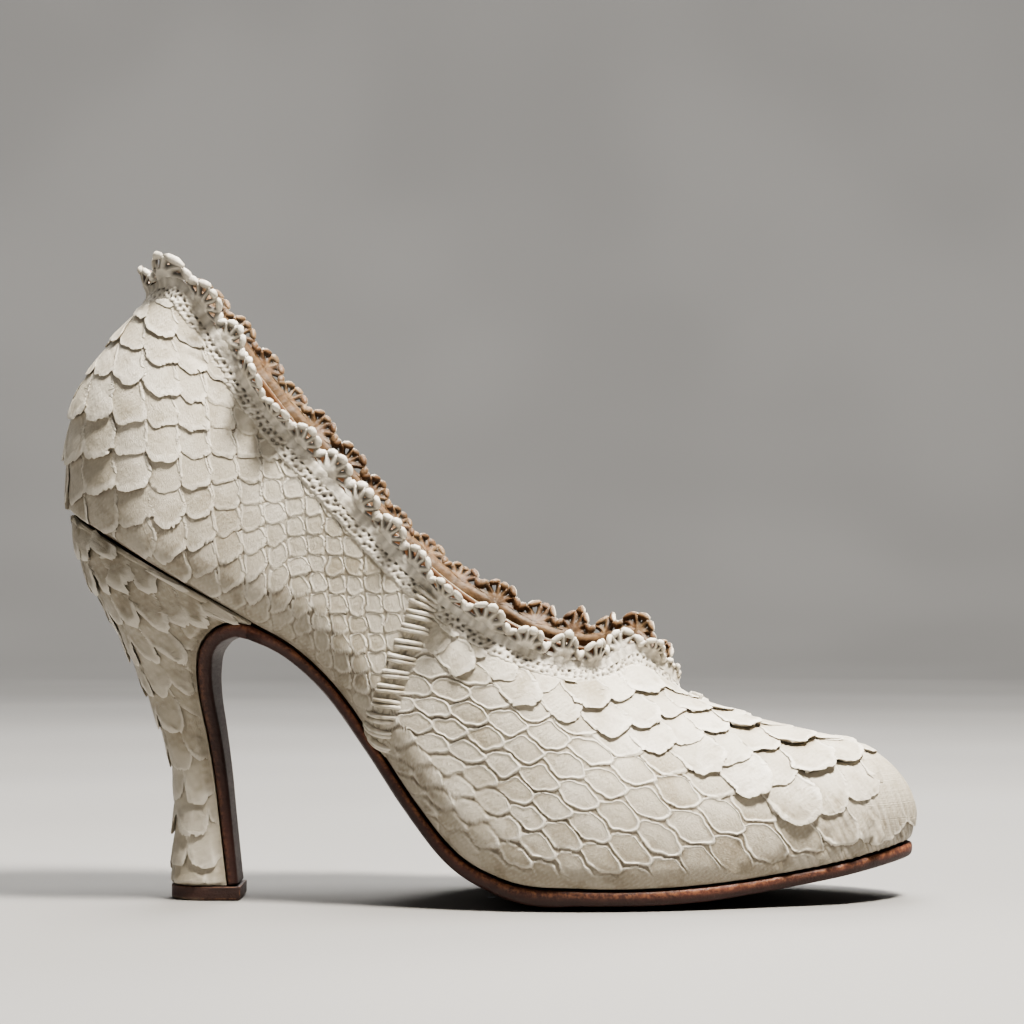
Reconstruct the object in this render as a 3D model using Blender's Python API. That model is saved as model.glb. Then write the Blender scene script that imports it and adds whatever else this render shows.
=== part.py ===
"""A right foot's high heel court shoe, as the pieces a shoemaker puts together.

Upper, insole, outsole with its heel breast flap, covered heel, heel top piece and collar trim.
Sizes are in millimetres, measured from the back of the heel towards the toe (+X), upwards from the
floor (+Z), with the lateral side at -Y and the medial side at +Y.
"""

import math

import bmesh
import bpy
import numpy as np

# Driving sizes, in millimetres
MILLIMETRE = 0.001
ORIGIN_X = 107.5          # middle of the shoe's length, which becomes the model's origin
MERGE = 0.00001           # metres, for points that two halves share
LATERAL, MEDIAL = -1, 1
PIECE_GAP = 0.3           # room between pieces that meet
UPPER_WALL = 1.8          # snakeskin and lining together
INSOLE_THICK = 2.0
INSOLE_INSET = 2.4        # from the feather line to the insole's edge
INSOLE_SHARE = 0.4        # of the width, the most the insole is inset by near its ends
SOLE_PROUD = 0.8          # outsole past the feather line
TOE_TIP_Y = 3.0           # the toe leans to the medial side
FEATHER_BACK, FEATHER_TIP = 1.5, 213.5
BULGE_TIP = 215.0
NOSE_HEIGHT = 20.5        # foremost point of the toe above the floor
TOE_ROUND = 22.0          # length over which the toe's outline closes
RIDGE_ROUND = 16.0        # length over which the toe's ridge drops to the nose
LEAD_START = 190.0        # where the toe starts to stand ahead of the feather line
FULLNESS = 0.55           # roundness of the sections' curves, where 0.55 is an ellipse
FEATHER_TUCK = 0.15       # how low the section turns out from the feather line
UPRIGHT_REACH = 0.6       # pull of an upright topline on the section below it
NOTCH = 157.6             # bottom of the V at the throat
FRILL_END = 154.6         # the frill stops just short of it
TOP_PIECE_THICK = 3.5
TOP_PIECE_BACK, TOP_PIECE_FRONT, TOP_PIECE_HALF = 26.7, 44.8, 9.3
FRILL_HEIGHT, FRILL_END_HEIGHT, FRILL_TAPER = 6.8, 1.4, 27.0
FRILL_THICK, FRILL_PITCH, FRILL_FLARE = 1.2, 11.0, math.radians(25.0)
FRILL_SCALLOP, FRILL_CURL = 0.2, 0.9


class SizeTable:
    """Rows of sizes in order of the first column, read between rows on a smooth curve."""

    def __init__(self, columns, rows):
        self.columns = columns
        self.rows = np.array(rows, dtype=float)

    def at(self, column, place):
        x = self.rows[:, 0]
        y = self.rows[:, self.columns.index(column)]
        step = np.diff(x)
        rise = np.diff(y) / step
        slope = np.zeros_like(y)
        slope[1:-1] = (rise[:-1] * step[1:] + rise[1:] * step[:-1]) / (step[:-1] + step[1:])
        slope[0], slope[-1] = rise[0], rise[-1]
        place = min(max(place, x[0]), x[-1])
        k = min(int(np.searchsorted(x, place, side="right")) - 1, len(step) - 1)
        t = (place - x[k]) / step[k]
        start = y[k] * (1 + 2 * t) * (1 - t) ** 2 + slope[k] * step[k] * t * (1 - t) ** 2
        end = y[k + 1] * (3 - 2 * t) * t**2 + slope[k + 1] * step[k] * t**2 * (t - 1)
        return float(start + end)


# The last's bottom seen from the side: heel seat, steep waist, ball and toe spring
BOTTOM = SizeTable(
    ("x", "z"),
    [
        (1.5, 97.0), (13.0, 90.5), (28.0, 81.3), (48.5, 69.3), (59.0, 63.0), (69.0, 53.5),
        (79.0, 39.8), (89.0, 25.3), (99.0, 13.6), (110.0, 7.6), (130.0, 5.4), (145.0, 5.3),
        (170.0, 7.0), (187.0, 9.4), (213.5, 14.5),
    ],
)

# Half widths of the last from the middle plane: at the feather line and at the fullest level above it.
# rise is the fullest level's height over the feather line, top_x where that section meets the topline.
LAST = SizeTable(
    ("x", "feather_lateral", "feather_medial", "full_lateral", "full_medial", "rise", "top_x"),
    [
        (26.0, 23.5, 23.5, 27.5, 27.5, 13.0, 36.0),
        (48.0, 20.0, 20.0, 26.7, 25.7, 16.0, 58.0),
        (60.0, 18.0, 16.5, 26.7, 24.7, 17.0, 69.0),
        (75.0, 19.5, 16.0, 28.5, 25.2, 17.0, 83.0),
        (90.0, 25.0, 21.0, 32.0, 28.2, 16.0, 97.0),
        (105.0, 31.5, 28.5, 36.0, 33.2, 14.0, 110.0),
        (120.0, 35.5, 34.0, 38.5, 37.2, 12.0, 123.0),
        (132.0, 36.3, 36.3, 38.8, 38.6, 11.0, 133.3),
        (145.0, 35.0, 36.6, 37.6, 38.7, 10.0, 145.3),
        (160.0, 31.6, 34.4, 34.0, 36.6, 9.5, 160.0),
        (176.0, 26.0, 30.0, 28.6, 32.4, 8.5, 176.0),
        (190.0, 21.6, 26.2, 24.2, 28.6, 7.6, 190.0),
        (204.0, 16.0, 21.6, 18.4, 23.8, 6.6, 204.8),
        (213.5, 11.5, 18.0, 13.6, 20.0, 6.0, 215.0),
    ],
)

# The topline on the lateral side from the side seam of the heel to the V, as half width, height and the
# wall's lean in degrees (90 is upright); raise is how much higher the medial side stands.
TOPLINE = SizeTable(
    ("x", "half", "z", "lean", "raise"),
    [
        (20.0, 19.0, 150.5, 52.0, 0.0),
        (24.7, 19.2, 152.6, 60.0, 0.5),
        (30.0, 19.4, 152.2, 68.0, 1.5),
        (36.0, 19.6, 143.6, 76.0, 3.5),
        (46.0, 22.5, 128.7, 82.0, 6.0),
        (58.0, 25.0, 113.2, 83.0, 6.0),
        (69.0, 26.5, 101.2, 83.0, 6.0),
        (83.0, 28.5, 86.0, 82.0, 6.0),
        (97.0, 31.0, 73.0, 78.0, 6.4),
        (110.0, 31.6, 64.3, 66.0, 6.8),
        (121.0, 28.6, 59.5, 50.0, 6.4),
        (131.5, 22.5, 57.9, 44.0, 5.6),
        (137.0, 17.5, 58.9, 48.0, 4.8),
        (143.0, 11.4, 61.6, 50.0, 3.6),
        (149.0, 6.6, 58.8, 36.0, 1.6),
        (154.0, 2.8, 54.0, 16.0, 0.3),
        (157.6, 0.0, 51.0, 0.0, 0.0),
    ],
)

# The vamp's ridge before the toe rounds it off
RIDGE = SizeTable(
    ("x", "z"),
    [(157.6, 51.0), (165.5, 47.8), (176.0, 44.5), (186.0, 42.0), (196.0, 39.7), (215.0, 34.5)],
)

# Rings of the heel from the ground up, each from a back point to a front point on the breast
HEEL = SizeTable(
    ("ring", "back_x", "back_z", "front_x", "front_z", "half", "front_half"),
    [
        (0, 26.9, 3.8, 41.4, 3.8, 9.0, 8.6),
        (1, 27.0, 10.0, 40.6, 10.0, 8.8, 8.4),
        (2, 27.6, 20.0, 39.4, 20.0, 8.6, 8.2),
        (3, 27.2, 30.5, 38.1, 31.0, 9.2, 8.7),
        (4, 24.8, 40.0, 36.5, 41.0, 10.5, 9.9),
        (5, 21.0, 50.5, 34.8, 50.0, 12.6, 11.8),
        (6, 16.5, 60.5, 34.2, 57.0, 15.5, 13.8),
        (7, 11.0, 71.0, 35.0, 63.0, 18.8, 16.0),
        (8, 5.5, 81.0, 38.3, 67.5, 21.5, 18.0),
        (9, 2.0, 91.0, 43.6, 69.7, 23.2, 19.3),
        (10, 1.2, 96.6, 48.3, 69.1, 23.6, 19.9),
    ],
)
HEEL_ROUND_SHARE = 0.53   # share of a ring's length that is the round back of the D

# Outsole thickness in the middle, and how much thinner its edge is
SOLE = SizeTable(
    ("x", "thick", "crown"),
    [
        (48.5, 3.7, 0.0), (60.0, 3.6, 0.5), (89.0, 3.9, 1.0), (110.0, 5.2, 1.3), (119.0, 5.9, 1.4),
        (132.0, 5.4, 1.4), (152.0, 5.4, 1.4), (161.0, 5.2, 1.3), (172.0, 4.7, 1.1), (190.0, 4.3, 0.8),
        (213.5, 3.8, 0.0),
    ],
)
BREAST_FOOT_THICK, BREAST_HEAD_THICK = 2.8, 3.8
SOLE_CROWN_POWER = 4
SOLE_LEAVES_UPPER = 53.0  # behind this the sole turns down the heel breast
SOLE_ACROSS = (-1.0, -0.86, -0.66, -0.4, 0.0, 0.4, 0.66, 0.86, 1.0)

HEEL_CENTRE = 26.0
HEEL_FULL_LENGTH = 25.9
HEEL_TOP_CENTRE, HEEL_TOP_LENGTH = 36.0, 16.0
HEEL_BACK_RISE = 11.0


def closing(left, length):
    """Grows from 0 at an end to 1 over a round end of this length."""
    return math.sqrt(max(0.0, 1.0 - (1.0 - min(left / length, 1.0)) ** 2))


def stations():
    """Places along the feather line: close together round the heel and the toe."""
    heel = [HEEL_CENTRE - (HEEL_CENTRE - FEATHER_BACK) * math.cos(a) for a in np.linspace(0, math.pi / 2, 9)]
    quarter = list(np.linspace(HEEL_CENTRE, NOTCH, 26))[1:]
    vamp = list(np.linspace(NOTCH, FEATHER_TIP - TOE_ROUND, 8))[1:]
    toe = [FEATHER_TIP - TOE_ROUND * (1 - math.cos(a)) for a in np.linspace(math.pi / 2, 0, 10)][1:]
    return heel + quarter + vamp + toe


def feather_half(side, x):
    """Half width of the last at the feather line, from the middle plane."""
    column = "feather_lateral" if side == LATERAL else "feather_medial"
    return LAST.at(column, x)


def round_in(side, x, half):
    """The y of a half width, drawn in to the middle round the heel and to the toe's tip round the toe."""
    heel = closing(x - FEATHER_BACK, HEEL_CENTRE - FEATHER_BACK)
    toe = closing(FEATHER_TIP - x, TOE_ROUND)
    return side * half * heel * toe + TOE_TIP_Y * (1.0 - toe)


def toe_lead(x):
    """How far the fullest level stands ahead of the feather line towards the toe's tip."""
    t = min(max((x - LEAD_START) / (FEATHER_TIP - LEAD_START), 0.0), 1.0)
    return (BULGE_TIP - FEATHER_TIP) * t * t


def ridge_height(x):
    """Height of the vamp's ridge, rounded down to the nose."""
    return NOSE_HEIGHT + (RIDGE.at("z", x) - NOSE_HEIGHT) * closing(BULGE_TIP - x, RIDGE_ROUND)


def rib(side, x):
    """One section of the upper's outside at a station: feather, fullest and top points, and how it ends."""
    full_column = "full_lateral" if side == LATERAL else "full_medial"
    feather = np.array([x, round_in(side, x, feather_half(side, x)), BOTTOM.at("z", x)])
    rise = LAST.at("rise", x)
    inward = np.array([0.0, -side, 0.0])
    full_x, top_x = x + toe_lead(x), LAST.at("top_x", x)
    if x < HEEL_CENTRE:
        turn = math.acos((HEEL_CENTRE - x) / (HEEL_CENTRE - FEATHER_BACK))
        full_x = HEEL_CENTRE - HEEL_FULL_LENGTH * math.cos(turn)
        top_x = HEEL_TOP_CENTRE - HEEL_TOP_LENGTH * math.cos(turn)
        rise = HEEL_BACK_RISE + (rise - HEEL_BACK_RISE) * math.sin(turn)
        inward = np.array([math.cos(turn), -side * math.sin(turn), 0.0])
    full = np.array([full_x, round_in(side, x, LAST.at(full_column, x)), feather[2] + rise])
    if x >= NOTCH:
        middle = TOE_TIP_Y * (1.0 - closing(FEATHER_TIP - x, TOE_ROUND))
        top = np.array([top_x, middle, ridge_height(top_x)])
        full[2] = min(full[2], top[2])
        lean = 0.0
    else:
        top_z = TOPLINE.at("z", top_x)
        if side == MEDIAL:
            top_z += TOPLINE.at("raise", top_x)
        top = np.array([top_x, round_in(side, x, TOPLINE.at("half", top_x)), top_z])
        lean = math.radians(TOPLINE.at("lean", top_x))
    across = np.dot(top - full, inward)
    upward = top - full - across * inward
    climb = np.linalg.norm(upward)
    upward = upward / climb if climb > 1e-6 else np.array([0.0, 0.0, 1.0])
    ending = math.cos(lean) * inward + math.sin(lean) * upward
    reach = math.cos(lean) * abs(across) + math.sin(lean) * climb * UPRIGHT_REACH
    return feather, full, top, upward, climb, ending, reach


def rib_points(side, x, low_steps=4, high_steps=10):
    """Points up one section: a short curve out to the fullest level, then one up to the top."""
    feather, full, top, upward, climb, ending, reach = rib(side, x)
    corner = np.array([full[0], full[1], feather[2] + FEATHER_TUCK * (full[2] - feather[2])])
    points = []
    for t in np.linspace(0.0, 1.0, low_steps + 1)[:-1]:
        points.append((1 - t) ** 2 * feather + 2 * t * (1 - t) * corner + t**2 * full)
    low = full + FULLNESS * climb * upward
    high = top - FULLNESS * reach * ending
    for t in np.linspace(0.0, 1.0, high_steps + 1):
        start = (1 - t) ** 3 * full + 3 * t * (1 - t) ** 2 * low
        points.append(start + 3 * t**2 * (1 - t) * high + t**3 * top)
    return points


def material(name, colour, roughness):
    made = bpy.data.materials.new(name)
    made.use_nodes = True
    shader = made.node_tree.nodes["Principled BSDF"]
    shader.inputs["Base Color"].default_value = (*colour, 1.0)
    shader.inputs["Roughness"].default_value = roughness
    return made


def piece(name, points, faces, finish):
    """A mesh object from points in millimetres, with doubled points merged."""
    shape = bmesh.new()
    made = [shape.verts.new(np.array((x - ORIGIN_X, y, z)) * MILLIMETRE) for x, y, z in points]
    for face in faces:
        shape.faces.new([made[k] for k in face])
    bmesh.ops.remove_doubles(shape, verts=shape.verts, dist=MERGE)
    mesh = bpy.data.meshes.new(name)
    shape.to_mesh(mesh)
    shape.free()
    mesh.materials.append(finish)
    mesh.shade_smooth()
    mesh.set_sharp_from_angle(angle=math.radians(40.0))
    made_object = bpy.data.objects.new(name, mesh)
    bpy.context.scene.collection.objects.link(made_object)
    return made_object


def grid_faces(start, rows, columns, flip=False):
    """Quads of a grid whose points were added row by row from index start."""
    faces = []
    for r in range(rows - 1):
        for c in range(columns - 1):
            corner = start + r * columns + c
            quad = (corner, corner + columns, corner + columns + 1, corner + 1)
            faces.append(quad[::-1] if flip else quad)
    return faces


def make_upper(finish):
    """Both halves of the upper's outside, joined at heel, ridge and toe, then given its wall inwards."""
    points, faces = [], []
    for side in (LATERAL, MEDIAL):
        start = len(points)
        ribs = [rib_points(side, x) for x in stations()]
        for row in ribs:
            points.extend(row)
        faces.extend(grid_faces(start, len(ribs), len(ribs[0]), flip=side == MEDIAL))
    upper = piece("upper", points, faces, finish)
    wall = upper.modifiers.new("wall", "SOLIDIFY")
    wall.thickness = UPPER_WALL * MILLIMETRE
    wall.offset = -1.0
    return upper


def swept_sheet(name, rows, across, finish):
    """A sheet along a path in the middle plane.

    Each row is (top point x and z, unit normal x and z pointing down, lateral y, medial y, thickness,
    crown): its underside is thinner at the edges by the crown, and never below the floor.
    """
    points = []
    for x, z, normal_x, normal_z, lateral, medial, thick, crown in rows:
        middle, half = (lateral + medial) / 2, (medial - lateral) / 2
        for share in across:
            points.append((x, middle + share * half, z))
        for share in across:
            depth = thick - crown * abs(share) ** SOLE_CROWN_POWER
            points.append((x + normal_x * depth, middle + share * half, max(z + normal_z * depth, 0.0)))
    width = len(across)
    ring = list(range(width)) + list(range(2 * width - 1, width - 1, -1))
    faces = []
    for r in range(len(rows) - 1):
        here, there = 2 * width * r, 2 * width * (r + 1)
        for k in range(len(ring)):
            a, b = ring[k], ring[(k + 1) % len(ring)]
            faces.append((here + a, here + b, there + b, there + a))
    for r in (0, len(rows) - 1):
        base = 2 * width * r
        for c in range(width - 1):
            quad = (base + c, base + c + 1, base + width + c + 1, base + width + c)
            faces.append(quad[::-1] if r == 0 else quad)
    return piece(name, points, faces, finish)


def with_normals(path):
    """Each (x, z) of a path that runs from toe to heel, with the unit normal on its lower side."""
    path = np.array(path)
    along = np.gradient(path, axis=0)
    along /= np.linalg.norm(along, axis=1)[:, None]
    return [(x, z, -dz, dx) for (x, z), (dx, dz) in zip(path, along)]


def make_insole(finish):
    back, tip = FEATHER_BACK + INSOLE_INSET, FEATHER_TIP - INSOLE_INSET - PIECE_GAP
    inner = [x for x in reversed(stations()) if back + PIECE_GAP < x < tip - PIECE_GAP]
    places = [tip] + inner + [back]
    path = with_normals([(x, BOTTOM.at("z", x)) for x in places])
    rows = []
    for x, z, normal_x, normal_z in path:
        lateral = round_in(LATERAL, x, feather_half(LATERAL, x))
        medial = round_in(MEDIAL, x, feather_half(MEDIAL, x))
        inset = min(INSOLE_INSET, INSOLE_SHARE * (medial - lateral))
        top = (x - normal_x * INSOLE_THICK, z - normal_z * INSOLE_THICK)
        rows.append((*top, normal_x, normal_z, lateral + inset, medial - inset, INSOLE_THICK, 0.0))
    return swept_sheet("insole", rows, (-1.0, 0.0, 1.0), finish)


def heel_front(ring):
    return HEEL.at("front_x", ring), HEEL.at("front_z", ring)


def make_outsole(finish):
    """The sole from the toe to the arch, then down the heel breast as one bent sheet."""
    places = [x for x in reversed(stations()) if x > SOLE_LEAVES_UPPER]
    rings = np.linspace(10.0, 0.0, 41)
    path = [(x + toe_lead(x) / 2, BOTTOM.at("z", x)) for x in places]
    path += [heel_front(ring) for ring in rings[1:]]
    normals = with_normals(path)
    rows = []
    for k, (x, z, normal_x, normal_z) in enumerate(normals):
        if k < len(places):
            station = places[k]
            lateral = round_in(LATERAL, station, feather_half(LATERAL, station) + SOLE_PROUD)
            medial = round_in(MEDIAL, station, feather_half(MEDIAL, station) + SOLE_PROUD)
            thick, crown = SOLE.at("thick", station), SOLE.at("crown", station)
        else:
            ring = rings[1 + k - len(places)]
            medial = HEEL.at("front_half", ring) + PIECE_GAP
            lateral = -medial
            thick = BREAST_FOOT_THICK + (BREAST_HEAD_THICK - BREAST_FOOT_THICK) * min(ring / 6.0, 1.0)
            crown = 0.0
        top = (x + normal_x * PIECE_GAP, z + normal_z * PIECE_GAP)
        rows.append((*top, normal_x, normal_z, lateral, medial, thick, crown))
    return swept_sheet("outsole", rows, SOLE_ACROSS, finish)


def heel_ring(back_x, back_z, front_x, front_z, half, front_half, round_steps=7, flat_steps=4):
    """One side of a D from the middle of its back to its front corner, as (x, half width, z)."""
    shares = [HEEL_ROUND_SHARE * (1 - math.cos(a)) for a in np.linspace(0, math.pi / 2, round_steps + 1)]
    shares += list(np.linspace(HEEL_ROUND_SHARE, 1.0, flat_steps + 1))[1:]
    side = []
    for share in shares:
        width = half * closing(share, HEEL_ROUND_SHARE)
        past = max(0.0, (share - HEEL_ROUND_SHARE) / (1.0 - HEEL_ROUND_SHARE))
        width += (front_half - half) * past**2
        side.append((back_x + (front_x - back_x) * share, width, back_z + (front_z - back_z) * share))
    return side


def stacked_rings(name, rings, finish):
    """A closed solid from D rings, lowest first, capped at both ends."""
    count = len(rings[0])
    points, faces = [], []
    for side in rings:
        points += [(x, -y, z) for x, y, z in side] + [(x, y, z) for x, y, z in side]
    loop = list(range(count - 1, -1, -1)) + list(range(count + 1, 2 * count))
    for r in range(len(rings) - 1):
        here, there = 2 * count * r, 2 * count * (r + 1)
        for k in range(len(loop)):
            a, b = loop[k], loop[(k + 1) % len(loop)]
            faces.append((here + a, there + a, there + b, here + b))
    last = 2 * count * (len(rings) - 1)
    for base, flip in ((0, True), (last, False)):
        cap = [(base, base + 1, base + count + 1)]
        for k in range(1, count - 1):
            cap.append((base + k, base + k + 1, base + count + k + 1, base + count + k))
        faces += [face[::-1] if flip else face for face in cap]
    return piece(name, points, faces, finish)


def make_heel(finish):
    rings = []
    for ring in np.linspace(0.0, 10.0, 26):
        sizes = [HEEL.at(column, ring) for column in HEEL.columns[1:]]
        rings.append(heel_ring(*sizes))
    return stacked_rings("heel", rings, finish)


def make_top_piece(finish):
    rings = []
    worn = 0.5                # the edge that meets the ground is rubbed round
    for z, shrink in ((0.0, worn), (worn, 0.0), (TOP_PIECE_THICK, 0.0)):
        half = TOP_PIECE_HALF - shrink
        rings.append(heel_ring(TOP_PIECE_BACK + shrink, z, TOP_PIECE_FRONT - shrink, z, half, half))
    return stacked_rings("heel_top_piece", rings, finish)


def topline_frames(step):
    """Points at even spacing along the topline, from the V round the heel to the V, with the direction in
    which the wall ends there and the outward direction across it."""
    fine = np.linspace(0.0, 1.0, 400)
    samples = []
    for side in (LATERAL, MEDIAL):
        along = fine[::-1] if side == LATERAL else fine[1:]
        for share in along:
            x = FEATHER_BACK + (FRILL_END - FEATHER_BACK) * (1 - math.cos(share * math.pi / 2))
            _, _, top, _, _, ending, _ = rib(side, x)
            samples.append((top, ending))
    tops = np.array([s[0] for s in samples])
    endings = np.array([s[1] for s in samples])
    travel = np.concatenate([[0.0], np.cumsum(np.linalg.norm(np.diff(tops, axis=0), axis=1))])
    even = np.linspace(0.0, travel[-1], int(round(travel[-1] / step)) + 1)
    tops = np.stack([np.interp(even, travel, tops[:, k]) for k in range(3)], axis=1)
    endings = np.stack([np.interp(even, travel, endings[:, k]) for k in range(3)], axis=1)
    tangent = np.gradient(tops, axis=0)
    tangent /= np.linalg.norm(tangent, axis=1)[:, None]
    endings -= np.sum(endings * tangent, axis=1)[:, None] * tangent
    endings /= np.linalg.norm(endings, axis=1)[:, None]
    outward = np.cross(endings, tangent)
    return even, tops, endings, outward


def make_collar_trim(finish):
    """The frill as one scalloped band standing on the topline, leaning outwards."""
    travel, tops, endings, outward = topline_frames(FRILL_PITCH / 4)
    levels = (0.0, 0.55, 1.0)
    points = []
    for place, top, ending, out in zip(travel, tops, endings, outward):
        scallop = 1 - FRILL_SCALLOP * (1 - abs(math.sin(math.pi * place / FRILL_PITCH)))
        to_end = min(place, travel[-1] - place)
        taper = min(1.0, to_end / FRILL_TAPER)
        height = FRILL_END_HEIGHT + (FRILL_HEIGHT * scallop - FRILL_END_HEIGHT) * taper
        up = math.cos(FRILL_FLARE) * ending + math.sin(FRILL_FLARE) * out
        across = math.cos(FRILL_FLARE) * out - math.sin(FRILL_FLARE) * ending
        base = top + 2 * PIECE_GAP * up
        for face in (1, -1):
            for level in levels:
                curl = FRILL_CURL * level**2
                points.append(base + up * height * level + across * (face * FRILL_THICK / 2 + curl))
    count = len(levels)
    ring = list(range(count)) + list(range(2 * count - 1, count - 1, -1))
    faces = []
    for r in range(len(travel) - 1):
        here, there = 2 * count * r, 2 * count * (r + 1)
        for k in range(len(ring)):
            a, b = ring[k], ring[(k + 1) % len(ring)]
            faces.append((here + a, here + b, there + b, there + a))
    for r in (0, len(travel) - 1):
        base = 2 * count * r
        for k in range(count - 1):
            quad = (base + k, base + k + 1, base + count + k + 1, base + count + k)
            faces.append(quad[::-1] if r == 0 else quad)
    return piece("collar_trim", points, faces, finish)


for old in list(bpy.data.objects):
    bpy.data.objects.remove(old)

cream_skin = material("cream_snakeskin", (0.76, 0.72, 0.64), 0.45)
brown_leather = material("brown_sole_leather", (0.12, 0.055, 0.038), 0.5)
dark_leather = material("dark_lift_leather", (0.05, 0.026, 0.02), 0.55)
tan_leather = material("tan_lining_leather", (0.42, 0.2, 0.06), 0.6)

make_upper(cream_skin)
make_insole(tan_leather)
make_outsole(brown_leather)
make_heel(cream_skin)
make_top_piece(dark_leather)
make_collar_trim(cream_skin)
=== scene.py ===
"""Looks of a right foot's high heel court shoe in cream snakeskin, with a lace-cut frill and brown soles.

Sizes are in millimetres, as a shoemaker would measure them: from the back of the heel towards the toe
(+X), upwards from the floor (+Z), with the lateral side at -Y and the medial side at +Y.
"""

import math
from collections import namedtuple

import bmesh
import bpy
import numpy as np
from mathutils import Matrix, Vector


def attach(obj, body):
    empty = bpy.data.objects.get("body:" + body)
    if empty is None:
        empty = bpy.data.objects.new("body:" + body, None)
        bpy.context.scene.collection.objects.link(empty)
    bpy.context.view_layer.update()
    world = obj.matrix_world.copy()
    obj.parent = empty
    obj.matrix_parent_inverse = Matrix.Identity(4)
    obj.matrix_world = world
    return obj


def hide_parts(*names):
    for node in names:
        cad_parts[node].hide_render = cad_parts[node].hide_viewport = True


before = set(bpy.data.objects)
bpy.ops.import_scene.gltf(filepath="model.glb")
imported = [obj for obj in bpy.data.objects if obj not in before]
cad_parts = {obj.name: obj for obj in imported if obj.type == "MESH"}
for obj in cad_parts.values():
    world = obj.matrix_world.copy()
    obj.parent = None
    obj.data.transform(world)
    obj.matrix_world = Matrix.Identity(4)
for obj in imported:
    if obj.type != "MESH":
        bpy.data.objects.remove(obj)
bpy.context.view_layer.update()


# Studio: a pale matt floor that sweeps up all round, soft light from panels overhead,
# and the camera at the photograph's angle. Its sizes are in metres.
FLOOR_RADIUS, SWEEP_RADIUS, WALL_TOP = 2.0, 0.9, 2.6
FLOOR_MIDDLE = (0.001, 0.0), (0.4, 0.0), (1.0, 0.0)       # radius and height of its first rings
FLOOR_SIDES, SWEEP_STEPS = 72, 10
# Name, place, aim, size, watts and tone of each lamp
LAMPS = (
    ("key", (0.3, -0.3, 1.05), (0.0, 0.0, 0.06), 0.22, 46.0, (1.0, 0.96, 0.9)),
    ("fill", (-0.9, -0.7, 0.55), (0.0, 0.0, 0.07), 0.9, 0.8, (0.95, 0.97, 1.0)),
    ("rim", (0.1, 0.8, 0.8), (0.0, 0.0, 0.08), 0.5, 8.0, (1.0, 0.98, 0.95)),
    ("backdrop", (0.0, 0.6, 2.4), (0.0, 1.9, 0.4), 1.6, 95.0, (1.0, 1.0, 1.0)),
)
WORLD_STRENGTH = 0.05
CAMERA_PLACE, CAMERA_AIM = (0.0052, -0.736, 0.076), (0.0052, 0.0, 0.0974)
CAMERA_LENS, CAMERA_SENSOR = 102.0, 36.0                  # millimetres


class Shade:
    """A socket in a node tree, so that shader maths reads as plain expressions."""

    def __init__(self, tree, socket=None):
        self.tree = tree
        self.socket = socket

    def node(self, kind, settings=None, sockets=None, output=0):
        """A new node: its settings are made first, then its sockets get their values or links."""
        made = self.tree.nodes.new(kind)
        for name, value in (settings or {}).items():
            setattr(made, name, value)
        for name, value in (sockets or {}).items():
            if isinstance(value, Shade):
                self.tree.links.new(value.socket, made.inputs[name])
            else:
                made.inputs[name].default_value = value
        return Shade(self.tree, made.outputs[output] if made.outputs else None)

    def math(self, operation, first, second):
        return self.node("ShaderNodeMath", {"operation": operation}, {0: first, 1: second})

    def __add__(self, other):
        return self.math("ADD", self, other)

    def __sub__(self, other):
        return self.math("SUBTRACT", self, other)

    def __rsub__(self, other):
        return self.math("SUBTRACT", other, self)

    def __mul__(self, other):
        return self.math("MULTIPLY", self, other)

    __radd__ = __add__
    __rmul__ = __mul__

    def vector(self, operation, other):
        """This vector and another, or a number to scale it by, in a vector operation."""
        second = "Scale" if operation == "SCALE" else 1
        return self.node("ShaderNodeVectorMath", {"operation": operation}, {0: self, second: other})

    def place(self):
        """The place on the piece, which is the same in every view."""
        return self.node("ShaderNodeTexCoord", output="Object")

    def attribute(self, name, output="Fac"):
        return self.node("ShaderNodeAttribute", {"attribute_name": name}, output=output)

    def noise(self, scale, detail=3.0, rough=0.55):
        """Noise read at this place."""
        sockets = {"Vector": self, "Scale": scale, "Detail": detail, "Roughness": rough}
        return self.node("ShaderNodeTexNoise", {}, sockets)

    def stretched(self, x, y, z):
        """This place with its axes scaled, to draw a pattern out."""
        return self.node("ShaderNodeMapping", {}, {"Vector": self, "Scale": (x, y, z)})

    def between(self, low, high):
        """0 below low and 1 above high, smooth in between."""
        sockets = {"Value": self, "From Min": low, "From Max": high}
        return self.node("ShaderNodeMapRange", {"interpolation_type": "SMOOTHSTEP"}, sockets)

    def tint(self, start, end):
        """A colour that goes from start to end with this value."""
        return self.node("ShaderNodeMix", {"data_type": "RGBA"}, {0: self, 6: start, 7: end}, output=2)

    def bump(self, strength, distance):
        return self.node("ShaderNodeBump", {}, {"Height": self, "Strength": strength, "Distance": distance})


def colour(red, green, blue):
    """A colour as seen on a screen, 0 to 255, as a shader takes it."""
    seen = np.array((red, green, blue)) / 255.0
    linear = np.where(seen <= 0.04045, seen / 12.92, ((seen + 0.055) / 1.055) ** 2.4)
    return (*(float(value) for value in linear), 1.0)


def make_finish(name, recipe, *tones):
    """A material, from a recipe that gives its shader's sockets their values or links."""
    made = bpy.data.materials.new(name)
    made.use_nodes = True
    made.node_tree.nodes.clear()
    shade = Shade(made.node_tree)
    surface = shade.node("ShaderNodeBsdfPrincipled", {}, recipe(shade, *tones))
    shade.node("ShaderNodeOutputMaterial", {}, {"Surface": surface})
    return made


def add_attribute(mesh, label, values):
    """Gives each point of a mesh a number or a vector."""
    values = np.ascontiguousarray(values, dtype=np.float32)
    kind, field = ("FLOAT_VECTOR", "vector") if values.ndim == 2 else ("FLOAT", "value")
    mesh.attributes.new(label, kind, "POINT").data.foreach_set(field, values.ravel())


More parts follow.
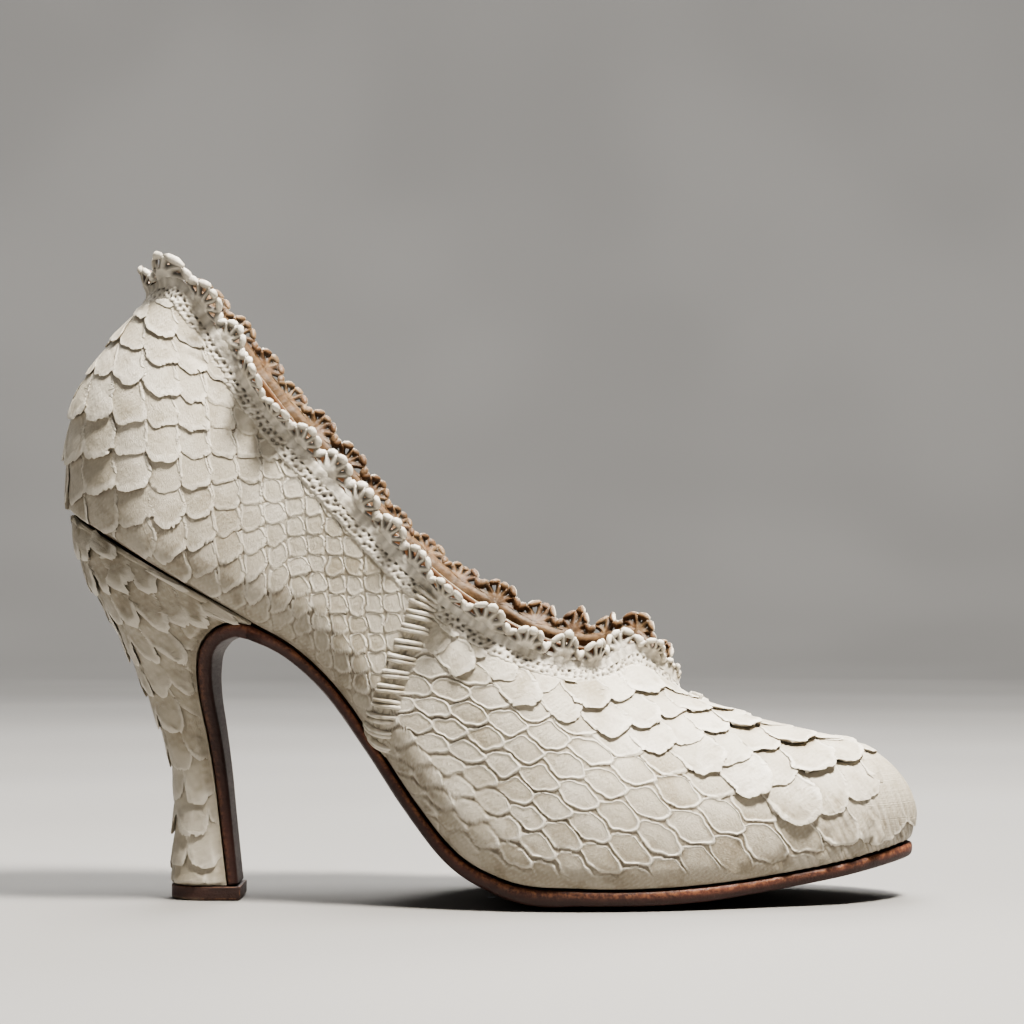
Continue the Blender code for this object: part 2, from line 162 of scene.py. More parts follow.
def new_mesh(name, points, faces, finish=None, **attributes):
    """A smooth mesh with a finish, and with its attributes at each point."""
    mesh = bpy.data.meshes.new(name)
    mesh.from_pydata(points, [], faces)
    for label, values in attributes.items():
        add_attribute(mesh, label, values)
    mesh.shade_smooth()
    if finish:
        mesh.materials.append(finish)
    return mesh


def new_object(name, data):
    made = bpy.data.objects.new(name, data)
    bpy.context.scene.collection.objects.link(made)
    return made


def grid_faces(start, rows, columns):
    """Quads of a grid whose points were added row by row from index start."""
    corner = start + columns * np.arange(rows - 1)[:, None] + np.arange(columns - 1)
    quads = np.stack([corner, corner + columns, corner + columns + 1, corner + 1], axis=-1)
    return quads.reshape(-1, 4).tolist()


def aim(made, place, target):
    """Stands a lamp or the camera at a place and turns it to a target."""
    made.location = place
    made.rotation_mode = "QUATERNION"
    made.rotation_quaternion = (Vector(target) - Vector(place)).to_track_quat("-Z", "Y")


FLOOR_GREY, FLOOR_PALE, SKY = colour(126, 124, 121), colour(133, 131, 128), colour(216, 218, 222)


def floor_paper(shade):
    """Matt studio paper, a little cloudy."""
    cloud = shade.place().noise(3.0, 1.0).between(0.3, 0.7)
    return {"Base Color": cloud.tint(FLOOR_GREY, FLOOR_PALE), "Roughness": 0.75}


def make_floor():
    """The floor with its sweep and wall, turned round the middle as one sheet."""
    profile = list(FLOOR_MIDDLE)
    for turn in np.linspace(0.0, math.pi / 2, SWEEP_STEPS):
        profile.append((FLOOR_RADIUS + SWEEP_RADIUS * math.sin(turn), SWEEP_RADIUS * (1 - math.cos(turn))))
    profile.append((FLOOR_RADIUS + SWEEP_RADIUS, WALL_TOP))
    points = []
    for radius, height in profile:
        for turn in np.linspace(0.0, 2 * math.pi, FLOOR_SIDES + 1):
            points.append((radius * math.cos(turn), radius * math.sin(turn), height))
    faces = grid_faces(0, len(profile), FLOOR_SIDES + 1)
    mesh = new_mesh("studio_floor", points, faces, make_finish("studio_floor", floor_paper))
    return new_object("studio_floor", mesh)


make_floor()
for name, place, target, size, watts, tone in LAMPS:
    panel = bpy.data.lights.new(name, "AREA")
    panel.size = size
    panel.energy = watts
    panel.color = tone
    lamp = new_object(name, panel)
    lamp.visible_camera = False
    aim(lamp, place, target)

world = bpy.data.worlds.new("studio")
world.use_nodes = True
world.node_tree.nodes["Background"].inputs["Color"].default_value = SKY
world.node_tree.nodes["Background"].inputs["Strength"].default_value = WORLD_STRENGTH
bpy.context.scene.world = world
bpy.context.scene.view_settings.look = "AgX - Medium High Contrast"

camera = new_object("camera", bpy.data.cameras.new("camera"))
camera.data.lens = CAMERA_LENS
camera.data.sensor_width = CAMERA_SENSOR
aim(camera, CAMERA_PLACE, CAMERA_AIM)
bpy.context.scene.camera = camera


# Upper: snakeskin vamp and quarters over a tan leather lining, drawn over the last and closed by a side
# seam at the waist. Its sections are those of the last: feather line, fullest level and topline or ridge.
MILLIMETRE = 0.001
ORIGIN_X = 107.5          # middle of the shoe's length, which is the model's origin
MERGE = 0.00001           # metres, for points that two halves share
LATERAL, MEDIAL = -1, 1
HANDS = {LATERAL: "lateral", MEDIAL: "medial"}
TOE_TIP_Y = 3.0           # the toe leans to the medial side
FEATHER_BACK, FEATHER_TIP = 1.5, 213.5
BULGE_TIP = 215.0
NOSE_HEIGHT = 20.5
TOE_ROUND, RIDGE_ROUND = 22.0, 16.0
LEAD_START = 190.0
FULLNESS, FEATHER_TUCK, UPRIGHT_REACH = 0.55, 0.15, 0.6
NOTCH, FRILL_END = 157.6, 154.6
HEEL_CENTRE, HEEL_FULL_LENGTH = 26.0, 25.9
HEEL_TOP_CENTRE, HEEL_TOP_LENGTH = 36.0, 16.0
HEEL_BACK_RISE = 11.0
FINE = 4                  # steps of the scaled skin to each step of the plain walls under it
HEEL_STEPS, QUARTER_STEPS, VAMP_STEPS, TOE_STEPS = 24 * FINE, 102 * FINE, 30 * FINE, 30 * FINE
LOW_STEPS, HIGH_STEPS = 8 * FINE, 38 * FINE               # up to the fullest level, and above it
ARCH_CROWDING = 0.8       # how much closer the sections stand where the feather line is steep
SKIN_SINK, SKIN_THICK = 0.4, 0.8      # the scales stand on a thin skin, a little inside the last's surface
LINING_SINK, LINING_THICK = 1.25, 0.5
TINY = 1e-7
TIP_OUT = np.array([0.97, 0.0, 0.24])  # outward at the toe's tip, where the sections run together


class SizeTable:
    """Rows of sizes in order of the first column, read between rows on a smooth curve."""

    def __init__(self, columns, rows):
        self.columns = columns
        self.rows = np.array(rows, dtype=float)

    def at(self, column, place):
        x = self.rows[:, 0]
        y = self.rows[:, self.columns.index(column)]
        step = np.diff(x)
        rise = np.diff(y) / step
        slope = np.zeros_like(y)
        slope[1:-1] = (rise[:-1] * step[1:] + rise[1:] * step[:-1]) / (step[:-1] + step[1:])
        slope[0], slope[-1] = rise[0], rise[-1]
        place = min(max(place, x[0]), x[-1])
        k = min(int(np.searchsorted(x, place, side="right")) - 1, len(step) - 1)
        t = (place - x[k]) / step[k]
        start = y[k] * (1 + 2 * t) * (1 - t) ** 2 + slope[k] * step[k] * t * (1 - t) ** 2
        end = y[k + 1] * (3 - 2 * t) * t**2 + slope[k + 1] * step[k] * t**2 * (t - 1)
        return float(start + end)


# The last's bottom from the side, its half widths, the topline and the ridge, as in the solid parts
BOTTOM = SizeTable(
    ("x", "z"),
    [
        (1.5, 97.0), (13.0, 90.5), (28.0, 81.3), (48.5, 69.3), (59.0, 63.0), (69.0, 53.5),
        (79.0, 39.8), (89.0, 25.3), (99.0, 13.6), (110.0, 7.6), (130.0, 5.4), (145.0, 5.3),
        (170.0, 7.0), (187.0, 9.4), (213.5, 14.5),
    ],
)
LAST = SizeTable(
    ("x", "feather_lateral", "feather_medial", "full_lateral", "full_medial", "rise", "top_x"),
    [
        (26.0, 23.5, 23.5, 27.5, 27.5, 13.0, 36.0),
        (48.0, 20.0, 20.0, 26.7, 25.7, 16.0, 58.0),
        (60.0, 18.0, 16.5, 26.7, 24.7, 17.0, 69.0),
        (75.0, 19.5, 16.0, 28.5, 25.2, 17.0, 83.0),
        (90.0, 25.0, 21.0, 32.0, 28.2, 16.0, 97.0),
        (105.0, 31.5, 28.5, 36.0, 33.2, 14.0, 110.0),
        (120.0, 35.5, 34.0, 38.5, 37.2, 12.0, 123.0),
        (132.0, 36.3, 36.3, 38.8, 38.6, 11.0, 133.3),
        (145.0, 35.0, 36.6, 37.6, 38.7, 10.0, 145.3),
        (160.0, 31.6, 34.4, 34.0, 36.6, 9.5, 160.0),
        (176.0, 26.0, 30.0, 28.6, 32.4, 8.5, 176.0),
        (190.0, 21.6, 26.2, 24.2, 28.6, 7.6, 190.0),
        (204.0, 16.0, 21.6, 18.4, 23.8, 6.6, 204.8),
        (213.5, 11.5, 18.0, 13.6, 20.0, 6.0, 215.0),
    ],
)
TOPLINE = SizeTable(
    ("x", "half", "z", "lean", "raise"),
    [
        (20.0, 19.0, 150.5, 52.0, 0.0),
        (24.7, 19.2, 152.6, 60.0, 0.5),
        (30.0, 19.4, 152.2, 68.0, 1.5),
        (36.0, 19.6, 143.6, 76.0, 3.5),
        (46.0, 22.5, 128.7, 82.0, 6.0),
        (58.0, 25.0, 113.2, 83.0, 6.0),
        (69.0, 26.5, 101.2, 83.0, 6.0),
        (83.0, 28.5, 86.0, 82.0, 6.0),
        (97.0, 31.0, 73.0, 78.0, 6.4),
        (110.0, 31.6, 64.3, 66.0, 6.8),
        (121.0, 28.6, 59.5, 50.0, 6.4),
        (131.5, 22.5, 57.9, 44.0, 5.6),
        (137.0, 17.5, 58.9, 48.0, 4.8),
        (143.0, 11.4, 61.6, 50.0, 3.6),
        (149.0, 6.6, 58.8, 36.0, 1.6),
        (154.0, 2.8, 54.0, 16.0, 0.3),
        (157.6, 0.0, 51.0, 0.0, 0.0),
    ],
)
RIDGE = SizeTable(
    ("x", "z"),
    [(157.6, 51.0), (165.5, 47.8), (176.0, 44.5), (186.0, 42.0), (196.0, 39.7), (215.0, 34.5)],
)


def closing(left, length):
    """Grows from 0 at an end to 1 over a round end of this length."""
    return math.sqrt(max(0.0, 1.0 - (1.0 - min(left / length, 1.0)) ** 2))


def summed(steps, axis=0):
    """Running totals along an axis of a grid, from 0."""
    return np.insert(np.cumsum(steps, axis=axis), 0, 0.0, axis=axis)


def stations():
    """Places along the feather line, close together round the heel and the toe and down the steep arch."""
    heel = np.cos(np.linspace(0.0, math.pi / 2, HEEL_STEPS + 1))
    heel = HEEL_CENTRE - (HEEL_CENTRE - FEATHER_BACK) * heel
    even = np.linspace(HEEL_CENTRE, NOTCH, 400)
    slope = np.gradient([BOTTOM.at("z", x) for x in even], even)
    travel = summed(np.hypot(1.0, slope[1:]) ** ARCH_CROWDING)
    quarter = np.interp(np.linspace(0.0, travel[-1], QUARTER_STEPS + 1)[1:], travel, even)
    vamp = np.linspace(NOTCH, FEATHER_TIP - TOE_ROUND, VAMP_STEPS + 1)[1:]
    toe = np.cos(np.linspace(math.pi / 2, 0.0, TOE_STEPS + 1))[1:]
    toe = FEATHER_TIP - TOE_ROUND * (1 - toe)
    return np.concatenate([heel, quarter, vamp, toe])


STATIONS = stations()


def station_at(x):
    """Number of the station nearest to a place along the feather line."""
    return int(np.argmin(np.abs(STATIONS - x)))


def round_in(side, x, half):
    """The y of a half width, drawn in to the middle round the heel and to the toe's tip round the toe."""
    heel = closing(x - FEATHER_BACK, HEEL_CENTRE - FEATHER_BACK)
    toe = closing(FEATHER_TIP - x, TOE_ROUND)
    return side * half * heel * toe + TOE_TIP_Y * (1.0 - toe)


def toe_lead(x):
    """How far the fullest level stands ahead of the feather line towards the toe's tip."""
    t = min(max((x - LEAD_START) / (FEATHER_TIP - LEAD_START), 0.0), 1.0)
    return (BULGE_TIP - FEATHER_TIP) * t * t


def ridge_height(x):
    """Height of the vamp's ridge, rounded down to the nose."""
    return NOSE_HEIGHT + (RIDGE.at("z", x) - NOSE_HEIGHT) * closing(BULGE_TIP - x, RIDGE_ROUND)


def rib(side, x):
    """One section of the upper's outside at a station: feather, fullest and top points, and how it ends."""
    feather = np.array([x, round_in(side, x, LAST.at("feather_" + HANDS[side], x)), BOTTOM.at("z", x)])
    rise = LAST.at("rise", x)
    inward = np.array([0.0, -side, 0.0])
    full_x, top_x = x + toe_lead(x), LAST.at("top_x", x)
    if x < HEEL_CENTRE:
        turn = math.acos((HEEL_CENTRE - x) / (HEEL_CENTRE - FEATHER_BACK))
        full_x = HEEL_CENTRE - HEEL_FULL_LENGTH * math.cos(turn)
        top_x = HEEL_TOP_CENTRE - HEEL_TOP_LENGTH * math.cos(turn)
        rise = HEEL_BACK_RISE + (rise - HEEL_BACK_RISE) * math.sin(turn)
        inward = np.array([math.cos(turn), -side * math.sin(turn), 0.0])
    full = np.array([full_x, round_in(side, x, LAST.at("full_" + HANDS[side], x)), feather[2] + rise])
    if x >= NOTCH:
        middle = TOE_TIP_Y * (1.0 - closing(FEATHER_TIP - x, TOE_ROUND))
        top = np.array([top_x, middle, ridge_height(top_x)])
        full[2] = min(full[2], top[2])
        lean = 0.0
    else:
        top_z = TOPLINE.at("z", top_x)
        if side == MEDIAL:
            top_z += TOPLINE.at("raise", top_x)
        top = np.array([top_x, round_in(side, x, TOPLINE.at("half", top_x)), top_z])
        lean = math.radians(TOPLINE.at("lean", top_x))
    across = np.dot(top - full, inward)
    upward = top - full - across * inward
    climb = np.linalg.norm(upward)
    upward = upward / climb if climb > 1e-6 else np.array([0.0, 0.0, 1.0])
    ending = math.cos(lean) * inward + math.sin(lean) * upward
    reach = math.cos(lean) * abs(across) + math.sin(lean) * climb * UPRIGHT_REACH
    return feather, full, top, upward, climb, ending, reach


def rib_points(side, x):
    """Points up one section: a short curve out to the fullest level, then one up to the top."""
    feather, full, top, upward, climb, ending, reach = rib(side, x)
    corner = np.array([full[0], full[1], feather[2] + FEATHER_TUCK * (full[2] - feather[2])])
    t = np.linspace(0.0, 1.0, LOW_STEPS + 1)[:-1, None]
    below = (1 - t) ** 2 * feather + 2 * t * (1 - t) * corner + t**2 * full
    low = full + FULLNESS * climb * upward
    high = top - FULLNESS * reach * ending
    t = np.linspace(0.0, 1.0, HIGH_STEPS + 1)[:, None]
    above = (1 - t) ** 3 * full + 3 * t * (1 - t) ** 2 * low + 3 * t**2 * (1 - t) * high + t**3 * top
    return np.concatenate([below, above])


def unit(vectors):
    """Vectors of the same directions, each a unit long."""
    return vectors / np.linalg.norm(vectors, axis=-1, keepdims=True)


def outward_normals(points, side):
    """Unit directions out of a side's grid of points."""
    along = np.gradient(points, axis=0)
    upward = np.gradient(points, axis=1)
    out = np.cross(along, upward) if side == LATERAL else np.cross(upward, along)
    size = np.linalg.norm(out, axis=2, keepdims=True)
    out = np.where(size > TINY, out / np.maximum(size, TINY), TIP_OUT)
    out[0, :, 1] = 0.0
    out[STATIONS >= NOTCH, -1, 1] = 0.0
    return unit(out)


# Creases that the skin took in wear and in lasting, each from one place to another as seen from the side,
# with its width and depth
CREASES = (
    ((30.5, 140.0), (37.5, 135.5), 1.1, 0.35),
    ((31.5, 136.5), (38.0, 132.5), 1.1, 0.3),
    ((168.0, 17.5), (166.5, 9.0), 1.3, 0.45),
    ((178.7, 15.5), (177.7, 8.5), 1.2, 0.5),
    ((190.6, 19.5), (188.3, 11.5), 1.2, 0.55),
    ((195.7, 22.5), (194.2, 12.0), 1.3, 0.6),
    ((201.5, 21.0), (200.5, 13.5), 1.2, 0.45),
)
CREASE_END = 0.3          # of its length, over which a crease dies away at each end
CREASE_RIDGE = 0.7        # of its depth, the height of the ridge in front of it


def creased(points, out):
    """The points moved in along each soft trough and out along the ridge in front of it."""
    moved = points.copy()
    seen = points[..., [0, 2]]
    for start, end, wide, deep in CREASES:
        run = np.subtract(end, start)
        length = np.linalg.norm(run)
        run /= length
        along = (seen - start) @ run
        aside = (seen - start) @ np.array([-run[1], run[0]])
        ends = CREASE_END * length
        fade = np.clip(along / ends, 0, 1) * np.clip((length - along) / ends, 0, 1)
        trough = np.exp(-((aside / wide) ** 2)) - CREASE_RIDGE * np.exp(-(((aside - 2 * wide) / wide) ** 2))
        moved -= out * (deep * fade * trough)[..., None]
    return moved


skin_ribs, skin_out = {}, {}
for side in (LATERAL, MEDIAL):
    skin_ribs[side] = np.array([rib_points(side, x) for x in STATIONS])
    skin_out[side] = outward_normals(skin_ribs[side], side)
    skin_ribs[side] = creased(skin_ribs[side], skin_out[side]) - SKIN_SINK * skin_out[side]


def to_model(points):
    """Millimetres from the back of the heel, as metres in the model."""
    return (np.asarray(points, dtype=float) - np.array([ORIGIN_X, 0.0, 0.0])) * MILLIMETRE


def weld(mesh, outward=False):
    """Merges the points that two edges of a mesh share, and can turn its faces outwards."""
    shape = bmesh.new()
    shape.from_mesh(mesh)
    bmesh.ops.remove_doubles(shape, verts=shape.verts, dist=MERGE)
    if outward:
        bmesh.ops.recalc_face_normals(shape, faces=shape.faces)
    shape.to_mesh(mesh)
    shape.free()


def new_piece(name, mesh, node=None):
    """A piece of the shoe, which can take the place of a solid part."""
    made = new_object(name, mesh)
    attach(made, "root")
    if node:
        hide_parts(node)
    return made


def upper_shell(name, sink, thick, finish, node=None):
    """A wall over the whole last, joined at heel, ridge and toe, and open at topline and feather line."""
    points, faces = [], []
    for side in (LATERAL, MEDIAL):
        shell = (skin_ribs[side] - sink * skin_out[side])[::FINE, ::FINE]
        quads = grid_faces(len(points), *shell.shape[:2])
        points.extend(to_model(shell.reshape(-1, 3)))
        faces.extend(quads if side == LATERAL else [quad[::-1] for quad in quads])
    mesh = new_mesh(name, points, faces, finish)
    weld(mesh)
    wall = new_piece(name, mesh, node).modifiers.new("wall", "SOLIDIFY")
    wall.thickness = thick * MILLIMETRE
    wall.offset = -1.0


CREAM, CREAM_PALE, CREAM_SHADE = colour(188, 179, 161), colour(220, 213, 199), colour(146, 133, 108)
DIRT_AND_SHADE = colour(84, 71, 52)
TAN, TAN_DARK, TAN_PALE = colour(112, 77, 47), colour(76, 49, 29), colour(140, 108, 78)
NO_FOLD = 2.0             # millimetres from a fold, where it no longer shows


def scaled_skin(shade):
    """Snakeskin: cream, pale at the scales' raised rims and fold ridges (wear and painted highlight),
    darkened in hollows, folds, under free tips and towards the sole (dirt and painted shade), finely lined.
    """
    place = shade.place()
    sunk = shade.attribute("sunk")
    from_fold = NO_FOLD - shade.attribute("near_fold")
    fold = from_fold.between(0.06, 0.3)
    ridge = fold * (1 - from_fold.between(0.42, 0.85))
    patch = place.noise(45.0, 2.0).between(0.35, 0.7)
    smear = place.noise(170.0, 2.0, 0.65).between(0.45, 0.75)
    lines = shade.attribute("own", "Vector").stretched(26.0, 3.0, 1.0).noise(1.6, 2.0, 0.6)
    wrinkle = place.noise(900.0, 2.0, 0.6)
    base = (0.6 * patch).tint(CREAM, CREAM_SHADE)
    base = (0.5 * shade.attribute("tone")).tint(base, CREAM_PALE)
    base = (0.4 * smear).tint(base, CREAM_SHADE)
    # dirt and painted shade in hollows, under free tips and towards the sole
    base = (sunk * (0.65 + 0.35 * smear)).tint(base, DIRT_AND_SHADE)
    # wear and painted highlight on raised rims and on the ridges beside the folds
    base = (0.7 * shade.attribute("rim") + 0.45 * ridge).tint(base, CREAM_PALE)
    # dirt and painted shade in the folds between plates
    base = (0.75 - 0.75 * fold).tint(base, DIRT_AND_SHADE)
    return {
        "Base Color": base,
        "Roughness": 0.4 + 0.22 * wrinkle + 0.12 * smear,
        "Coat Weight": 0.12,
        "Coat Roughness": 0.35,
        "Normal": (0.8 * lines + 0.6 * wrinkle + 1.3 * ridge + 0.8 * fold).bump(0.6, 0.0004),
    }


def tan_leather(shade):
    """Vegetable-tanned lining leather: brown, rubbed paler and stained darker in patches."""
    place = shade.place()
    stain = place.noise(60.0, 5.0, 0.6).between(0.4, 0.7)
    paler = place.noise(25.0).between(0.5, 0.75)
    grain = place.noise(1500.0, 3.0)
    base = (0.7 * stain).tint(TAN, TAN_DARK)
    return {
        "Base Color": (0.5 * paler).tint(base, TAN_PALE),
        "Roughness": 0.5 + 0.2 * grain,
        "Normal": grain.bump(0.35, 0.0002),
    }


snakeskin = make_finish("snakeskin", scaled_skin)
lining_leather = make_finish("lining_leather", tan_leather)
upper_shell("upper_skin", 0.0, SKIN_THICK, snakeskin, "upper")
upper_shell("upper_lining", LINING_SINK - SKIN_SINK, LINING_THICK, lining_leather)


# Insole: a leather board on the last's bottom, seen only through the mouth of the shoe. Its solid has the
# right shape, so it stays and takes the lining's leather. A sock of that leather is glued on it, from wall
# to wall.
SOCK_OVER = 2.5           # height of the sock over the last's bottom
SOCK_TUCK = 1.0           # its edge ends inside the lining
SOCK_DISH = 0.2
SOCK_POINTS = 13          # across it


def sock_edge(side):
    """Where the sock meets the lining of one side, at each section of the plain wall."""
    wall = (skin_ribs[side] - SOCK_TUCK * skin_out[side])[::FINE, :LOW_STEPS]
    edge = []
    for points in wall:
        x = points[0, 0]
        slope = BOTTOM.at("z", x + 0.5) - BOTTOM.at("z", x - 0.5)
        level = points[0, 2] + SOCK_OVER * math.hypot(1.0, slope)
        edge.append([np.interp(level, points[:, 2], points[:, axis]) for axis in range(3)])
    return np.array(edge)[:, None]


def sock_mesh(name, finish):
    """A thin sheet across the shoe between both linings, a little hollow along its middle."""
    share = np.linspace(0.0, 1.0, SOCK_POINTS)[:, None]
    points = sock_edge(LATERAL) * (1 - share) + sock_edge(MEDIAL) * share
    points[..., 2] -= SOCK_DISH * np.sin(math.pi * share[:, 0])
    return new_mesh(name, to_model(points.reshape(-1, 3)), grid_faces(0, *points.shape[:2]), finish)


insole_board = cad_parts["insole"].data
insole_board.materials.clear()
insole_board.materials.append(lining_leather)
new_piece("insole_sock", sock_mesh("insole_sock", lining_leather))


# Scales: each panel of snakeskin is one sheet, worked up into plates. Small plates are framed by fine double
# folds; the tips of larger ones have dried free of the skin and curled up.
WAIST = 60.0              # the skin is laid flat from here
FINE_SWELL = 0.05         # of the plates' pattern, beside its slow swells
ROOT_SHARE = 0.1          # of a plate's lift, at its root
ROOT_END, PLATE_LONG, CURL_POWER = -0.8, 1.6, 2.2         # a plate lifts from its root over this length
DOME = 0.16
LIP_INSET, LIP_WIDE = 0.5, 0.32        # the rim of a plate stands up just inside its edge
FLAT_LIP, FREE_LIP = 0.2, 0.06
FOLD_DEEP, FOLD_WIDE = 0.3, 0.28
EDGE_WIDE, CLIFF = 0.03, 4.0           # past its edge a plate drops away at once
TIP_SHARE = 0.12, 0.4     # along a plate, where its sides' folds give way to a free edge
OVERHANG, OVERHANG_WIDE = 0.7, 2.0     # of its lift, how far a free tip reaches out over the plate below
FLATTEST, MOST_PUSH = 1e-3, 5.0        # limits of that reach, which is worked out in steps of the grid
SKIN_CLEAR = 0.05         # of the plates' skin over the plain wall under it
NEAR_BLUR, WIDE_BLUR = 5, 24           # steps of the grid that the wear and painted highlight, and the dirt and painted shade, look round a place
RIM_HIGHLIGHT_AND_RUB = 0.11             # how far a rim stands proud where it is painted pale, for wear and a painted highlight
SHADE_AND_DIRT_DEPTH, WIDE_SHADE_AND_DIRT_DEPTH = (0.01, 0.17), (0.06, 0.46)            # how deep a hollow is where its dirt and painted shade start and are full
GRAIN_HIGH, GRAIN_WAVE = 0.02, 1.3
SHARP_RIM = math.radians(48.0)
LENGTH_COST = 0.8         # of a cut across a quad, against its change in height
LEAST_LIFT, CURL = 0.3, 0.0145
LIFT_LOW, LIFT_LUCK = 0.6, 0.8

# A plate by half its width, the reach of its tip and of its root, how square its end is, and how much its
# luck adds to its half width and to its tip
Plate = namedtuple("Plate", "half tip root square wider longer", defaults=(0.0, 0.0))


def unroll(points):
    """Flat places of a side's points, along the shoe and up its wall, as if the skin were peeled off."""
    full = LOW_STEPS
    waist = station_at(WAIST)
    step = np.diff(points, axis=0)
    girth = np.hypot(step[..., 0], step[..., 1])
    line = summed(girth[:, full])
    line += points[waist, full, 0] - line[waist]
    along = line[:, None] + points[:, :, 0] - points[:, full, None, 0]
    for k in range(station_at(HEEL_CENTRE) - 1, -1, -1):
        along[k] = along[k + 1] - girth[k]
    rise = np.diff(points, axis=1)
    climb = np.sqrt(np.maximum((rise**2).sum(-1) - np.diff(along, axis=1) ** 2, 1e-9))
    up = summed(climb, axis=1)
    up += points[:, full, None, 2] - up[:, full, None]
    return np.stack([along, up], axis=-1)


side_flat = {side: unroll(skin_ribs[side]) for side in (LATERAL, MEDIAL)}


def ripple(x, z, wave, seed):
    """Soft swells at random headings, mostly between -1 and 1, of about this wavelength."""
    total = np.zeros_like(x)
    for heading, phase, stretch in np.random.default_rng(seed).uniform(0.0, 1.0, (6, 3)):
        turn = 2 * math.pi * heading
        run = (x * math.cos(turn) + z * math.sin(turn)) / (wave * (0.7 + 0.8 * stretch))
        total += np.sin(2 * math.pi * (run + phase))
    return total / 2.4


def wander(x, z, swell, wave, fine_wave, seed):
    """How far the plates' pattern strays: by this swell over a long wave, and a little over a fine one."""
    return swell * ripple(x, z, wave, seed) + FINE_SWELL * ripple(x, z, fine_wave, seed + 1)


def eased(value, low, high):
    """0 below low and 1 above high, smooth in between."""
    t = np.clip((value - low) / (high - low), 0.0, 1.0)
    return t * t * (3 - 2 * t)


def softened(values, times):
    """Values of a grid, each blurred with its neighbours."""
    for _ in range(times):
        wide = np.pad(values, 1, mode="edge")
        beside = wide[:-2, 1:-1] + wide[2:, 1:-1] + wide[1:-1, :-2] + wide[1:-1, 2:]
        values = (beside + 2 * values) / 6
    return values


LUCK_SIZE = 64
CHANCES = np.random.default_rng(7).uniform(0.0, 1.0, (LUCK_SIZE, LUCK_SIZE, 5))


def luck_of(column, row):
    """Five numbers from 0 to 1 for each plate, the same wherever the plate is met."""
    picked = CHANCES[column.astype(int) % LUCK_SIZE, row.astype(int) % LUCK_SIZE]
    return np.moveaxis(picked, -1, 0)


def rounded(first, second, power):
    """How far out a place is in a shape with rounded corners, 1 at its edge."""
    return (np.abs(first) ** power + np.abs(second) ** power) ** (1 / power)


def tongue(across, along, plate, wide=0.0, long=0.0):
    """How far out a place is in a plate with straight sides, a round tip and a buried root."""
    half, tip = plate.half + plate.wider * wide, plate.tip + plate.longer * long
    end = rounded(across / half, np.maximum(along, 0.0) / tip, plate.square)
    return np.maximum(end, -along / plate.root)


def gentler_step(values, axis):
    """The change from each point of a grid to the next, on the side where it changes less."""
    step = np.diff(values, axis=axis)
    ends = [(0, 0), (0, 0)]
    ends[axis] = (0, 1)
    forward = np.pad(step, ends, mode="edge")
    ends[axis] = (1, 0)
    backward = np.pad(step, ends, mode="edge")
    return np.where(np.abs(forward) < np.abs(backward), forward, backward)


